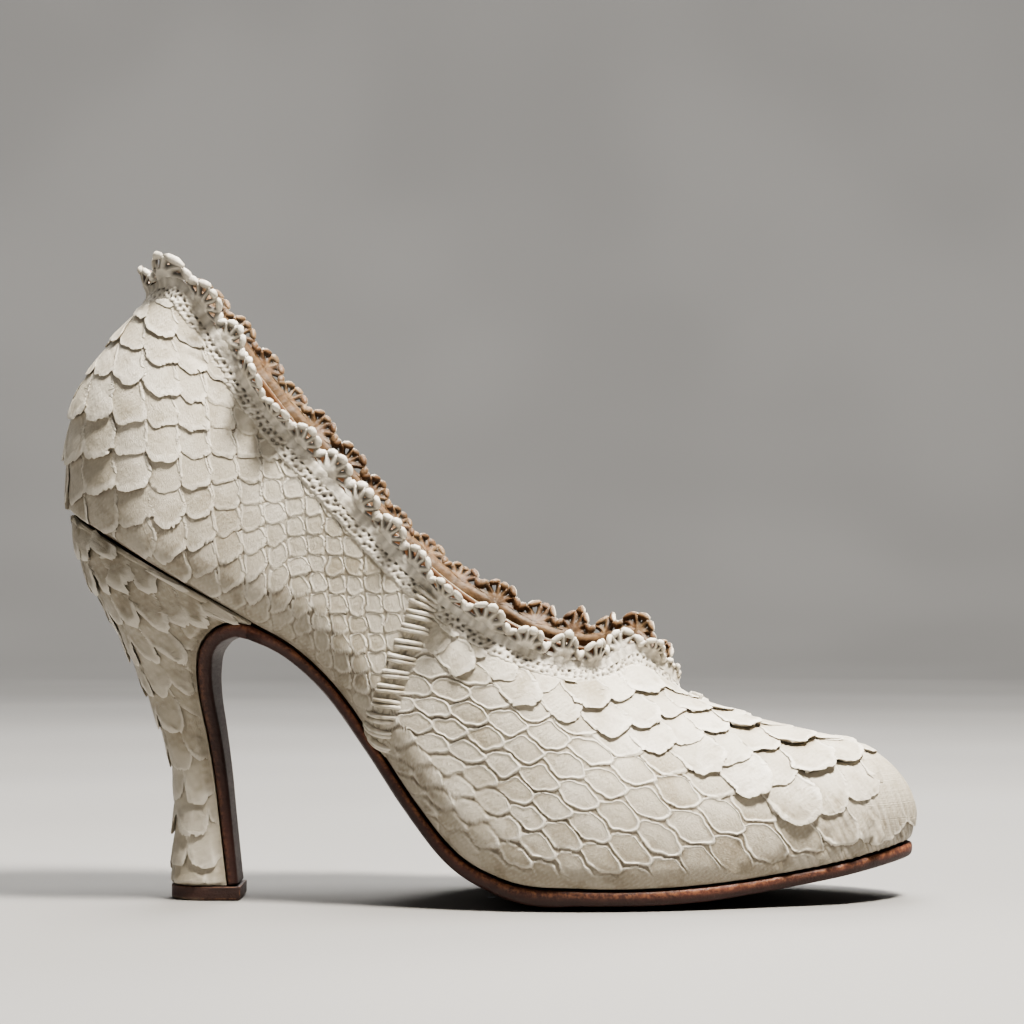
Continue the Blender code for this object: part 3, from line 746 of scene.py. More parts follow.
class Relief:
    """A skin's height over the wall under it, raised plate by plate: the higher of two plates shows."""

    def __init__(self, x):
        self.height = np.zeros_like(x)
        self.tone = np.full_like(x, 0.5)
        self.own = np.zeros((*x.shape, 3))
        self.from_fold = np.full_like(x, NO_FOLD)
        self.push = np.zeros((*x.shape, 2))
        self.shade_and_soil = np.zeros_like(x)

    def take(self, shows, height, tone, own, from_fold, push):
        """Takes over what another plate or panel has, where it shows."""
        self.height = np.where(shows, height, self.height)
        self.tone = np.where(shows, tone, self.tone)
        self.own = np.where(shows[..., None], own, self.own)
        self.from_fold = np.where(shows, from_fold, self.from_fold)
        self.push = np.where(shows[..., None], push, self.push)

    def raise_plate(self, edge, across, along, size, lift, free, tone, base=0.0, tip=TIP_SHARE):
        """A plate that ends where edge is 1: lifted at a free tip, or else folded all round."""
        across, along, tone = np.broadcast_arrays(across, along, tone)
        inner = (1.0 - edge) * size / 2
        reach = np.clip((along - ROOT_END) / PLATE_LONG, 0.0, 1.0)
        height = base + lift * (ROOT_SHARE + (1 - ROOT_SHARE) * reach**CURL_POWER)
        height = height + DOME * np.clip(1 - edge**2, 0.0, 1.0)
        lip = np.exp(-(((inner - LIP_INSET) / LIP_WIDE) ** 2))
        height = height + lip * (FLAT_LIP * (1 - free) + FREE_LIP * free * lift * reach)
        height = height - FOLD_DEEP * (1 - free) * np.exp(-((inner / FOLD_WIDE) ** 2))
        height = height - CLIFF * np.clip(-inner / EDGE_WIDE, 0.0, 1.0)
        own = np.stack([2 * across + 9 * tone, 2 * along, 9 * tone], axis=-1)
        from_fold = inner + NO_FOLD * free * eased(along, *tip)
        steep = np.stack([gentler_step(inner, 0), gentler_step(inner, 1)], axis=-1)
        at_edge = inner < np.abs(steep).max(-1)
        steep /= np.maximum((steep**2).sum(-1, keepdims=True), FLATTEST)
        near_edge = np.clip(1 - np.where(at_edge, 0.0, inner) / OVERHANG_WIDE, 0.0, 1.0)
        push = free * (np.where(at_edge, inner, 0.0) + OVERHANG * lift * reach**2 * near_edge)
        push = np.clip(-push[..., None] * steep, -MOST_PUSH, MOST_PUSH)
        self.take(height > self.height, height, tone, own, from_fold, push)

    def wear(self):
        """How pale each place is where it stands proud, for wear and a painted highlight, and how dark where
        it lies in a hollow or under a free tip, for dirt and painted shade.
        """
        hollow = softened(self.height, NEAR_BLUR) - self.height
        wide_hollow = softened(self.height, WIDE_BLUR) - self.height
        dirt_and_shade = [
            (depth - start) / (full - start)
            for depth, (start, full) in ((hollow, SHADE_AND_DIRT_DEPTH), (wide_hollow, WIDE_SHADE_AND_DIRT_DEPTH))
        ]
        return np.clip(-hollow / RIM_HIGHLIGHT_AND_RUB, 0.0, 1.0), np.clip(np.maximum(*dirt_and_shade), 0.0, 1.0)

    def attributes(self):
        """What the skin's finish reads, for every point."""
        rim, sunk = self.wear()
        return {
            "rim": rim.ravel(),
            "sunk": np.minimum(1.0, sunk + self.shade_and_soil).ravel(),
            "tone": self.tone.ravel(),
            "near_fold": np.clip(NO_FOLD - self.from_fold, 0.0, NO_FOLD).ravel(),
            "own": self.own.reshape(-1, 3),
        }

    def fade(self, share):
        """Lets the plates die away where share falls from 1 to 0."""
        self.height = self.height * share
        self.push = self.push * share[..., None]
        self.from_fold = self.from_fold + NO_FOLD * (1 - share)

    def soften(self, share, times, fold_fade):
        """Blurs the plates where share rises from 0 to 1, and moves their folds away by fold_fade, which
        takes out the folds' dirt, painted shade and painted highlight.
        """
        self.height = self.height + share * (softened(self.height, times) - self.height)
        folds = softened(self.from_fold, times) + fold_fade
        self.from_fold = self.from_fold + share * (folds - self.from_fold)

    def laid_on(self, points, out):
        """The points of a wall, raised and pushed as the plates are."""
        aside = self.push[..., :1] * np.gradient(points, axis=0)
        aside = aside + self.push[..., 1:] * np.gradient(points, axis=1)
        return points + (SKIN_CLEAR + self.height)[..., None] * out + aside


def lifted(size, luck):
    """How far a plate's tip stands off the skin: big plates curl more."""
    return np.maximum(LEAST_LIFT, CURL * size**2) * (LIFT_LOW + LIFT_LUCK * luck)


QUARTER_SCALE = 4.75      # height of a plate at the waist
QUARTER_WIDE = 0.95       # its width, as a share of that
QUARTER_START, QUARTER_ROW = 58.9, 107.3   # the plates grow behind this place; one row lies level here
QUARTER_GROWTH = 0.105
QUARTER_DRIFT = 0.07      # of its height, how far each row stands behind the one below
QUARTER_WAVE, QUARTER_WAVE_STEP = 0.06, 1.7
QUARTER_FREE = (4.75, 8.0), (0.45, 1.0)    # how free its tip is, by a plate's size
QUARTER_LIFT = 0.95
QUARTER_PLATE = Plate(0.5, 0.62, 0.8, 3.2, 0.06, 0.12)
SQUARE_FILL, SQUARE_CORNERS = 2.04, 3.4    # of the flat plates
FLAP_SHIFT = 0.05
TILE_LEAN, TILE_SWING = math.radians(11.0), 0.24          # tips point a little forwards


def raise_quarter(relief, x, z):
    """Rows of near-square plates that fan out from the waist towards the heel, with their tips down."""
    place = x
    for _ in range(5):
        size = QUARTER_SCALE + QUARTER_GROWTH * np.maximum(0.0, QUARTER_START - place)
        row = (z - QUARTER_ROW) / size
        place = x + QUARTER_DRIFT * size * row
    behind = np.log1p(QUARTER_GROWTH * np.maximum(0.0, QUARTER_START - place) / QUARTER_SCALE)
    column = np.maximum(0.0, place - QUARTER_START) / (QUARTER_WIDE * QUARTER_SCALE) - behind / QUARTER_GROWTH
    free = np.interp(size, *QUARTER_FREE)
    for column_step in (-1, 0, 1):
        own_column = np.rint(column) + column_step
        level = row - QUARTER_WAVE * np.sin(QUARTER_WAVE_STEP * own_column)
        for row_step in (-1, 0, 1):
            own_row = np.rint(level) + row_step
            tone, luck, turn, wide, long = luck_of(own_column, own_row)
            aside, below = column - own_column, own_row - level
            lean = TILE_LEAN + TILE_SWING * (turn - 0.5)
            across = aside * np.cos(lean) - below * np.sin(lean)
            along = below * np.cos(lean) + aside * np.sin(lean)
            square = rounded(SQUARE_FILL * aside, SQUARE_FILL * below, SQUARE_CORNERS)
            flap = tongue(across, along + FLAP_SHIFT, QUARTER_PLATE, wide, long)
            edge = square + free * (flap - square)
            relief.raise_plate(edge, across, along, size, QUARTER_LIFT * lifted(size, luck), free, tone)


BACK_SCALE, BACK_GROWTH = 12.0, 0.3
BACK_ROWS = range(-3, 5)
BACK_LIFT, BACK_BASE = 1.1, 0.25
BACK_PLATE = Plate(0.5, 0.64, 0.8, 3.0)


def raise_back(relief, x, z):
    """One column of large plates down the middle of the heel's back."""
    aside = x - x[:1]
    for row in BACK_ROWS:
        size = BACK_SCALE + BACK_GROWTH * row
        across, along = aside / size, (QUARTER_ROW + row * size - z) / size
        edge = tongue(across, along, BACK_PLATE)
        relief.raise_plate(edge, across, along, size, BACK_LIFT, 1.0, 0.35 + 0.1 * (row % 3), BACK_BASE)


VAMP_POLE = complex(46.2, -1.0)        # the vamp's plates grow away from this place under the arch
VAMP_REACH, VAMP_ANGLE = 81.7, math.radians(19.0)
VAMP_POWER = 0.35
VAMP_ROW, VAMP_STEP = complex(9.1, -4.3), complex(6.1, 2.7)
VAMP_TIP_SHARE = 0.4, 0.7
VAMP_SCALE = 7.1                       # size of a plate at that reach
VAMP_TIPS = (-10.0, 0.0, 22.0), (-38.0, -46.0, -60.0)     # tips' heading by height over the line below
VAMP_SWING = 0.2
VAMP_PLATE = Plate(0.53, 0.82, 0.95, 2.5, 0.05, 0.12)
CURL_START, CURL_SLOPE = (89.3, 63.0), -0.414             # above this line the tips curl free
CURL_BAND, CURL_LUCK = (-2.0, 5.0), 5.0
CELL_TIP = math.radians(-31.0)         # heading of the flat plates, which are this much longer than wide
CELL_LONG = 1.5
CELL_CORNERS = 6.0                     # the higher, the sharper
CELL_ENDS = 0.8                        # the lower, the more pointed the cells' ends
CELL_LIFT, CELL_LIFT_LUCK = 0.2, 0.12


def cell_edge(offset):
    """How far out a place is in the cell of its plate, halfway to the six plates round it."""
    turn = complex(math.cos(CELL_TIP), -math.sin(CELL_TIP))
    here = offset * turn
    total = np.zeros(offset.shape)
    for step, share in ((VAMP_ROW, CELL_ENDS), (VAMP_STEP, 1.0), (VAMP_ROW - VAMP_STEP, 1.0)):
        beside = step * turn
        dot = here.real * beside.real / CELL_LONG**2 + here.imag * beside.imag
        apart = beside.real**2 / CELL_LONG**2 + beside.imag**2
        total += np.abs(2 * share * dot / apart) ** CELL_CORNERS
    return total ** (1 / CELL_CORNERS)


def over_curl_line(x, z):
    """Height over the line above which the vamp's tips curl free."""
    return z - CURL_START[1] - CURL_SLOPE * (x - CURL_START[0])


def raise_vamp(relief, x, z):
    """Rows of long cells that run down towards the toe; higher up their tips turn down and curl free."""
    away = x + 1j * z - VAMP_POLE
    stretch = VAMP_REACH ** (1 - VAMP_POWER) / VAMP_POWER
    bend = np.exp(1j * (VAMP_POWER - 1) * VAMP_ANGLE)
    start = stretch * (VAMP_REACH * np.exp(1j * VAMP_ANGLE)) ** VAMP_POWER
    lattice = (stretch * away**VAMP_POWER - start) / bend
    across_basis = VAMP_ROW.real * VAMP_STEP.imag - VAMP_ROW.imag * VAMP_STEP.real
    row = (lattice.real * VAMP_STEP.imag - lattice.imag * VAMP_STEP.real) / across_basis
    step = (VAMP_ROW.real * lattice.imag - VAMP_ROW.imag * lattice.real) / across_basis
    size = VAMP_SCALE * (np.abs(away) / VAMP_REACH) ** (1 - VAMP_POWER)
    swing = (1 - VAMP_POWER) * (np.angle(away) - VAMP_ANGLE)
    for row_step in (-1, 0, 1, 2):
        for step_step in (-1, 0, 1, 2):
            own_row, own_step = np.floor(row) + row_step, np.floor(step) + step_step
            tone, luck, turn, wide, long = luck_of(own_row, own_step)
            middle = own_row * VAMP_ROW + own_step * VAMP_STEP
            centre = VAMP_POLE + ((start + middle * bend) / stretch) ** (1 / VAMP_POWER)
            above = over_curl_line(centre.real, centre.imag)
            free = eased(above + CURL_LUCK * (turn - 0.5), *CURL_BAND)
            heading = np.radians(np.interp(above, *VAMP_TIPS)) - swing + VAMP_SWING * (turn - 0.5)
            offset = lattice - middle
            laid = offset * np.exp(-1j * heading) / VAMP_SCALE
            flap = tongue(laid.imag, laid.real, VAMP_PLATE, wide, long)
            cell = cell_edge(offset)
            edge = cell + free * (flap - cell)
            lift = CELL_LIFT + CELL_LIFT_LUCK * luck + free * (lifted(size, luck) - CELL_LIFT)
            relief.raise_plate(edge, laid.imag, laid.real, size, lift, free, tone, tip=VAMP_TIP_SHARE)


RIDGE_SCALE, RIDGE_PITCH = 14.0, 12.6
RIDGE_FIRST, RIDGE_COUNT = -6.4, 5
RIDGE_LIFT, RIDGE_BASE = 1.0, 0.3
RIDGE_PLATE = Plate(0.5, 0.62, 0.8, 2.6)
FAR_BEHIND = -99.0        # of the stations where there is no ridge


def raise_ridge(relief, ribs):
    """Large plates in one row down the middle of the vamp, that overlap towards the toe."""
    first = station_at(NOTCH)
    run = summed(np.linalg.norm(np.diff(ribs[first:, -1], axis=0), axis=1))
    run = np.concatenate([np.full(first, FAR_BEHIND), run])[:, None]
    down = summed(np.linalg.norm(np.diff(ribs[:, ::-1], axis=1), axis=2), axis=1)[:, ::-1]
    across = down / RIDGE_SCALE
    for k in range(RIDGE_COUNT):
        along = (run - RIDGE_FIRST - RIDGE_PITCH * k) / RIDGE_SCALE
        edge = tongue(across, along, RIDGE_PLATE)
        relief.raise_plate(edge, across, along, RIDGE_SCALE, RIDGE_LIFT, 1.0, 0.3 + 0.12 * k, RIDGE_BASE)


# The torn lower edge of the last plate, which hangs over the toe's nose, as seen from the side
NOSE_EDGE_X = (200.0, 202.0, 204.5, 207.0, 209.5, 211.0, 213.0, 216.0)
NOSE_EDGE_Z = (24.0, 17.0, 15.8, 16.2, 18.6, 20.2, 19.0, 18.4)
NOSE_START, NOSE_LIFT, NOSE_MIDDLE, NOSE_TONE = 200.5, 0.65, 25.0, 0.6
NOSE_SLANT, NOSE_REACH = 0.8, 0.8
NOSE_TEAR, NOSE_TEAR_WAVE = 0.3, 2.5
NOSE_CALM, NOSE_LEFT = (201.0, 207.0), 0.1     # the other plates die away between these places
NOSE_LEVELS = 14.5, 16.0                       # the plate is whole above these heights


def raise_nose(relief, ribs):
    """One plate round the toe's nose, with a torn lower edge."""
    x, z = ribs[..., 0], ribs[..., 2]
    torn = NOSE_TEAR * ripple(x, z, NOSE_TEAR_WAVE, 31)
    inner = NOSE_SLANT * (z - np.interp(x, NOSE_EDGE_X, NOSE_EDGE_Z) + torn)
    edge = 1.0 - np.minimum(x - NOSE_START, inner) / (RIDGE_SCALE / 2)
    across = (z - NOSE_MIDDLE) / RIDGE_SCALE
    relief.raise_plate(edge, across, NOSE_REACH, RIDGE_SCALE, NOSE_LIFT, 1.0, NOSE_TONE)


# The side seam as seen from the side, from the feather line up to the topline
SEAM = SizeTable(("z", "x"), [(38.0, 79.2), (46.0, 80.9), (57.0, 84.5), (68.0, 89.2), (77.5, 93.0)])
SEAM_LOW, SEAM_HIGH = 30.0, 90.0
SKIN_SWELL, SKIN_WAVE, SKIN_FINE_WAVE = 0.32, 5.0, 1.7
BARE_START, BARE = 95.0, (2.2, 5.4)            # the vamp is smooth this far up from the feather line
COLLAR_BARE, SEAM_BARE = (2.4, 3.8), (0.6, 2.2)           # and under the topline's band, and along the seam
FEATHER_BARE = 0.2, 1.2
WAIST_WORN, WAIST_HIGH, WAIST_LEFT = (38.0, 56.0), 11.0, 0.3    # over the arch the quarter is worn flat
# and this far under the line of free tips the vamp's folds are softened, with less painted shade, dirt and
# painted highlight in them
ARCH_END, ARCH_LEVELS = (106.0, 116.0), (17.0, 26.0)
ARCH_BLUR, ARCH_FOLD_FADE = 1, 0.14
TOE_STREAKED, TOE_STREAK_LEVELS, TOE_STREAK = (178.0, 200.0), (20.0, 34.0), 0.1
STREAK_RUN, STREAK_RISE = 0.87, 0.5            # heading of the toe's streaks
STREAK_FINE, STREAK_LONG, STREAK_WAVE = 2.2, 0.2, 3.0
LOW_SHADE_AND_SOIL, LOW_SHADE_AND_SOIL_HIGH = 0.5, 28.0                    # the skin is darker towards the sole: painted shade, partly soil


def seam_at(z):
    """Where the seam stands along the shoe at a height."""
    levels = np.linspace(SEAM_LOW, SEAM_HIGH, 61)
    return np.interp(z, levels, [SEAM.at("x", level) for level in levels])


def skin_relief(side):
    """The scaled skin of one side: the quarter behind the seam and the vamp in front of it."""
    ribs = skin_ribs[side]
    seen_x, seen_z = ribs[..., 0], ribs[..., 2]
    x, z = side_flat[side][..., 0], side_flat[side][..., 1]
    warped_x = x + wander(x, z, SKIN_SWELL, SKIN_WAVE, SKIN_FINE_WAVE, 11)
    warped_z = z + wander(x, z, SKIN_SWELL, SKIN_WAVE, SKIN_FINE_WAVE, 13)
    quarter, skin = Relief(x), Relief(x)
    raise_quarter(quarter, warped_x, warped_z)
    raise_back(quarter, x, warped_z)
    raise_vamp(skin, warped_x, warped_z)
    skin.soften(eased(-over_curl_line(x, z), *ARCH_LEVELS) * (1 - eased(x, *ARCH_END)), ARCH_BLUR, ARCH_FOLD_FADE)
    raise_ridge(skin, ribs)
    skin.fade(1 - (1 - NOSE_LEFT) * eased(seen_x, *NOSE_CALM))
    raise_nose(skin, ribs)
    behind = seen_x < seam_at(seen_z)
    skin.take(behind, quarter.height, quarter.tone, quarter.own, quarter.from_fold, quarter.push)
    over_feather = seen_z - ribs[:, :1, 2]
    bare = np.where(seen_x > BARE_START, eased(over_feather, *BARE), 1.0)
    worn_flat = eased(seen_x, *WAIST_WORN) * (1 - eased(over_feather, 0.0, WAIST_HIGH))
    bare = np.where(behind, 1 - (1 - WAIST_LEFT) * worn_flat, bare)
    under_top = np.linalg.norm(ribs - ribs[:, -1:], axis=2)
    collar = np.where(STATIONS[:, None] < NOTCH, eased(under_top, *COLLAR_BARE), 1.0)
    from_seam = np.abs(seen_x - seam_at(seen_z))
    left = bare * collar * eased(from_seam, *SEAM_BARE) * eased(over_feather, *FEATHER_BARE)
    nose = eased(seen_x, NOSE_START, NOSE_START + 1.0) * eased(seen_z, *NOSE_LEVELS)
    skin.fade(np.maximum(left, nose))
    toe = eased(x, *TOE_STREAKED) * (1 - eased(seen_z, *TOE_STREAK_LEVELS))
    run, aside = STREAK_RUN * x + STREAK_RISE * z, STREAK_RISE * x - STREAK_RUN * z
    streaks = ripple(STREAK_FINE * run, STREAK_LONG * aside, STREAK_WAVE, 21)
    skin.height = skin.height + TOE_STREAK * toe * streaks + GRAIN_HIGH * ripple(x, z, GRAIN_WAVE, 22)
    # darker towards the sole: painted shade, partly soil
    skin.shade_and_soil = LOW_SHADE_AND_SOIL * (1 - eased(over_feather, 0.0, LOW_SHADE_AND_SOIL_HIGH))
    return skin, behind


JOIN_STEPS = 12           # of the grid, over which both sides are brought together


def join(reliefs):
    """Brings both sides to the same height where they meet: at the heel's back, the ridge and the toe."""
    first = station_at(NOTCH)
    near = 1 - np.arange(JOIN_STEPS) / JOIN_STEPS
    mean = (reliefs[0].height + reliefs[1].height) / 2
    for relief in reliefs:
        height, push = relief.height, relief.push
        push[first:, -JOIN_STEPS:] *= 1 - near[::-1, None]
        push[:JOIN_STEPS] *= 1 - near[:, None, None]
        push[-JOIN_STEPS:] *= 1 - near[::-1, None, None]
        height[first:, -JOIN_STEPS:] += (mean[first:, -1:] - height[first:, -1:]) * near[::-1]
        height[:JOIN_STEPS] += (mean[:1] - height[:1]) * near[:, None]
        height[-JOIN_STEPS:] += (mean[-1:] - height[-1:]) * near[::-1, None]


def cut_quads(quads, wall, height):
    """Triangles of a grid's quads, each cut the way that is shorter and changes less in height, so that the
    plates' rims and folds run clean."""
    wall, height = wall.reshape(-1, 3), height.ravel()

    def cost(start, end):
        length = np.linalg.norm(wall[quads[:, start]] - wall[quads[:, end]], axis=1)
        return LENGTH_COST * length + np.abs(height[quads[:, start]] - height[quads[:, end]])

    first = cost(0, 2) <= cost(1, 3)
    halves = np.where(first[:, None], quads[:, [0, 1, 2, 0, 2, 3]], quads[:, [1, 2, 3, 1, 3, 0]])
    return halves.reshape(-1, 3)


def skin_sheet(name, points, triangles, attributes):
    """A sheet of skin from some of a grid's triangles, with its wear and its plates' tones as attributes."""
    used, faces = np.unique(triangles, return_inverse=True)
    own = {label: values[used] for label, values in attributes.items()}
    mesh = new_mesh(name, to_model(points[used]), faces.reshape(-1, 3).tolist(), snakeskin, **own)
    mesh.set_sharp_from_angle(angle=SHARP_RIM)
    new_piece(name, mesh)


reliefs, behind_seam = zip(*(skin_relief(side) for side in (LATERAL, MEDIAL)))
join(reliefs)
for side, relief, behind in zip((LATERAL, MEDIAL), reliefs, behind_seam):
    points = relief.laid_on(skin_ribs[side], skin_out[side])
    quads = np.array(grid_faces(0, *points.shape[:2]))
    if side == MEDIAL:
        quads = quads[:, ::-1]
    in_quarter = behind.ravel()[quads[:, 0]]
    attributes = relief.attributes()
    for panel, own_quads in (("quarter", quads[in_quarter]), ("vamp", quads[~in_quarter])):
        triangles = cut_quads(own_quads, skin_ribs[side], relief.height)
        skin_sheet(panel + "_scales_" + HANDS[side], points.reshape(-1, 3), triangles, attributes)


# Side seam: the quarter and the vamp meet edge to edge, each edge turned in, and are drawn together by
# double strands of rolled thong that are whipped over them from hole to hole.
WELT_PROFILE = (
    (-2.0, -0.5), (-1.4, 0.3), (-0.6, 0.5), (-0.15, 0.3), (0.0, -0.2),
    (0.15, 0.3), (0.6, 0.5), (1.4, 0.3), (2.0, -0.5),
)
WELT_LOW, WELT_HIGH, WELT_STEP = 36.0, 81.0, 1.5
WELT_CRUMPLE = 0.15
STITCH_LENGTH, STRAND_WIDE, STRAND_HIGH = 8.6, 1.2, 1.85
STRAND_SIDES, STRAND_STEPS = 7, 8
STRAND_STRAY, STITCH_STRAY = 0.12, 0.06
# Middle of each stitch as seen from the side, and how far its front end hangs down, in degrees
STITCHES = (
    (92.9, 77.1, 40.0), (91.4, 74.4, 26.0), (90.4, 71.3, 14.0), (89.3, 68.0, 9.0),
    (87.6, 64.2, 8.0), (86.0, 60.7, 8.0), (84.5, 57.1, 8.0), (83.2, 53.5, 7.0),
    (82.2, 50.0, 8.0), (80.9, 46.4, 8.0), (80.0, 43.2, 10.0), (79.7, 40.5, 12.0),
)
MEDIAL_SHIFT = 600.0      # the medial sheet is laid this far along, and runs the other way
# A spot is a flat place, a turn, a size and a tone; these are for a motif that is drawn in place
WHOLE = [((0.0, 0.0), 0.0, (1.0, 1.0, 1.0), 0.5)]
WHOLE_MEDIAL = [((MEDIAL_SHIFT, 0.0), 0.0, (-1.0, 1.0, 1.0), 0.5)]
CRUMPLE_SCALE = 260.0     # crumples to a metre
INSIDE_BELOW = -0.2       # height under which a strip shows its inside
STRAND_DIP, STRAND_END = 0.55, 0.55            # how deep a strand's ends lie, and how thick they are
chance = np.random.default_rng(7)


def make_chart(name, *sheets):
    """Flat sheets that know, at each of their points, the place and the outward direction on the shoe."""
    flat, place, out, faces = [], [], [], []
    for sheet_flat, sheet_place, sheet_out in sheets:
        faces.extend(grid_faces(len(flat), *sheet_flat.shape[:2]))
        flat.extend((x, y, 0.0) for x, y in sheet_flat.reshape(-1, 2) * MILLIMETRE)
        place.extend(to_model(sheet_place.reshape(-1, 3)))
        out.extend(sheet_out.reshape(-1, 3))
    return new_object(name, new_mesh(name, flat, faces, place=place, out=out))


def plain_steps(*grids):
    """Grids of the scaled skin, thinned to the steps of the plain walls under it."""
    return [grid[::FINE, ::FINE] for grid in grids]


def laid_pattern_tree():
    """Copies a motif to flat spots, then lays all of it on a chart's skin at the motif's own height."""
    tree = bpy.data.node_groups.new("laid_pattern", "GeometryNodeTree")
    inputs = (
        ("Spots", "Geometry"), ("Motif", "Object"), ("Chart", "Object"),
        ("Finish", "Material"), ("Crumple", "Float"),
    )
    for name, kind in inputs:
        tree.interface.new_socket(name, in_out="INPUT", socket_type="NodeSocket" + kind)
    tree.interface.new_socket("Laid", in_out="OUTPUT", socket_type="NodeSocketGeometry")
    start = tree.nodes.new("NodeGroupInput")
    given = {socket.name: Shade(tree, socket) for socket in start.outputs if socket.name}
    make = Shade(tree)

    def named(label, kind="FLOAT_VECTOR"):
        return make.node("GeometryNodeInputNamedAttribute", {"data_type": kind}, {"Name": label})

    motif = make.node("GeometryNodeObjectInfo", {}, {"Object": given["Motif"]}, output="Geometry")
    sheet = make.node("GeometryNodeObjectInfo", {}, {"Object": given["Chart"]}, output="Geometry")
    rotation = make.node("ShaderNodeCombineXYZ", {}, {"Z": named("turn", "FLOAT")})
    sockets = {"Points": given["Spots"], "Instance": motif, "Rotation": rotation, "Scale": named("size")}
    copies = make.node("GeometryNodeInstanceOnPoints", {}, sockets)
    copies = make.node("GeometryNodeRealizeInstances", {}, {"Geometry": copies})
    spot = make.node("GeometryNodeInputPosition")
    sockets = {"Vector": spot, "Scale": CRUMPLE_SCALE, "Detail": 2.0}
    wave = make.node("ShaderNodeTexNoise", {}, sockets, output="Color")
    wave = wave.vector("SUBTRACT", (0.5, 0.5, 0.5)).vector("SCALE", given["Crumple"])
    moved = spot.vector("ADD", wave)
    height = make.node("ShaderNodeSeparateXYZ", {}, {"Vector": moved}, output="Z")
    flat = moved.vector("MULTIPLY", (1.0, 1.0, 0.0))
    found = {}
    for label in ("place", "out"):
        sockets = {"Mesh": sheet, "Value": named(label), "Sample Position": flat}
        found[label] = make.node("GeometryNodeSampleNearestSurface", {"data_type": "FLOAT_VECTOR"}, sockets)
    there = found["place"].vector("ADD", found["out"].vector("SCALE", height))
    laid = make.node("GeometryNodeSetPosition", {}, {"Geometry": copies, "Position": there})
    laid = make.node("GeometryNodeSetShadeSmooth", {}, {"Geometry": laid})
    laid = make.node("GeometryNodeSetMaterial", {}, {"Geometry": laid, "Material": given["Finish"]})
    make.node("NodeGroupOutput", {}, {"Laid": laid})
    return tree


LAID_PATTERN = laid_pattern_tree()


def lay(name, chart, motif, spots, finish, node=None, crumple=0.0):
    """A piece of motifs, one at each spot, laid on a chart."""
    places, turns, sizes, tones = zip(*spots)
    flat = [(x * MILLIMETRE, y * MILLIMETRE, 0.0) for x, y in places]
    sizes = np.array(sizes, dtype=np.float32) * MILLIMETRE
    mesh = new_mesh(name + "_spots", flat, [], turn=turns, size=sizes, tone=tones)
    spread = new_object(name + "_spots", mesh)
    modifier = spread.modifiers.new("laid", "NODES")
    modifier.node_group = LAID_PATTERN
    values = {"Motif": motif, "Chart": chart, "Finish": finish, "Crumple": crumple * MILLIMETRE}
    for item in LAID_PATTERN.interface.items_tree:
        if item.in_out == "INPUT" and item.name in values:
            modifier[item.identifier] = values[item.name]
    graph = bpy.context.evaluated_depsgraph_get()
    laid = bpy.data.meshes.new_from_object(spread.evaluated_get(graph))
    bpy.data.objects.remove(spread)
    for label in ("turn", "size"):
        laid.attributes.remove(laid.attributes[label])
    laid.name = name
    new_piece(name, laid, node)


def mirrored(spots):
    """The same spots on the medial sheet, which runs the other way."""
    return [((MEDIAL_SHIFT - x, y), -turn, size, tone) for (x, y), turn, size, tone in spots]


def turned_in(along, aside, height):
    """How far a plain strip sinks, and how dark it is where it turns in: painted shade with dirt."""
    return 0.0, 0.4 * (height < 0)


def strip(name, path, profile, relief=turned_in):
    """A strip along a flat path, as a motif in millimetres, from (aside, height) rows across it.

    A relief gives, for a place along, aside and high, how far the surface sinks and how dark it is there, for
    dirt and painted shade.
    """
    path = np.array(path, dtype=float)
    run = unit(np.gradient(path, axis=0))
    travel = summed(np.linalg.norm(np.diff(path, axis=0), axis=1))
    points, own, sunk = [], [], []
    for (x, y), (run_x, run_y), along in zip(path, run, travel):
        for aside, height in profile:
            deep, dirt_and_shade = relief(along, aside, height)
            points.append((x - run_y * aside, y + run_x * aside, height - deep))
            own.append((along, aside, 0.0))
            sunk.append(dirt_and_shade)
    back = [1.0 if height < INSIDE_BELOW else 0.0 for _, height in profile] * len(path)
    faces = grid_faces(0, len(path), len(profile))
    return new_object(name, new_mesh(name, points, faces, own=own, sunk=sunk, back=back))


def make_strand(name):
    """A rolled strand a unit long along X, bent up from two holes, a unit wide and high."""
    points, own, faces = [], [], []
    for t in np.linspace(0.0, 1.0, STRAND_STEPS + 1):
        rise = math.sqrt(math.sin(math.pi * t)) - STRAND_DIP
        thick = 0.5 * (STRAND_END + (1 - STRAND_END) * math.sin(math.pi * t) ** 0.35)
        for a in np.linspace(0.0, 2 * math.pi, STRAND_SIDES, endpoint=False):
            points.append((t - 0.5, thick * math.cos(a), rise + thick * math.sin(a)))
            own.append((t, a, 0.0))
    for row in range(STRAND_STEPS):
        for k in range(STRAND_SIDES):
            a, b = row * STRAND_SIDES + k, row * STRAND_SIDES + (k + 1) % STRAND_SIDES
            faces.append((b, b + STRAND_SIDES, a + STRAND_SIDES, a))
    return new_object(name, new_mesh(name, points, faces, own=own))


def flat_place(x, z):
    """Where a place seen from the lateral side lies on the side sheet."""
    seen = skin_ribs[LATERAL][..., [0, 2]].reshape(-1, 2)
    away = np.linalg.norm(seen - (x, z), axis=1)
    near = np.argsort(away)[:4]
    weight = 1 / (away[near] + 0.05) ** 2
    return tuple((side_flat[LATERAL].reshape(-1, 2)[near] * weight[:, None]).sum(0) / weight.sum())


def stitch_spots():
    """Two strands for each stitch, side by side and a little astray."""
    spots = []
    for x, z, hang in STITCHES:
        along, up = flat_place(x, z)
        turn = -math.radians(hang)
        for half in (-0.5, 0.5):
            aside = half * STRAND_WIDE + chance.uniform(-STRAND_STRAY, STRAND_STRAY)
            spot = (along - math.sin(turn) * aside, up + math.cos(turn) * aside)
            size = (STITCH_LENGTH * chance.uniform(0.95, 1.05), STRAND_WIDE, STRAND_HIGH)
            spots.append((spot, turn + chance.uniform(-STITCH_STRAY, STITCH_STRAY), size, 0.5))
    return spots


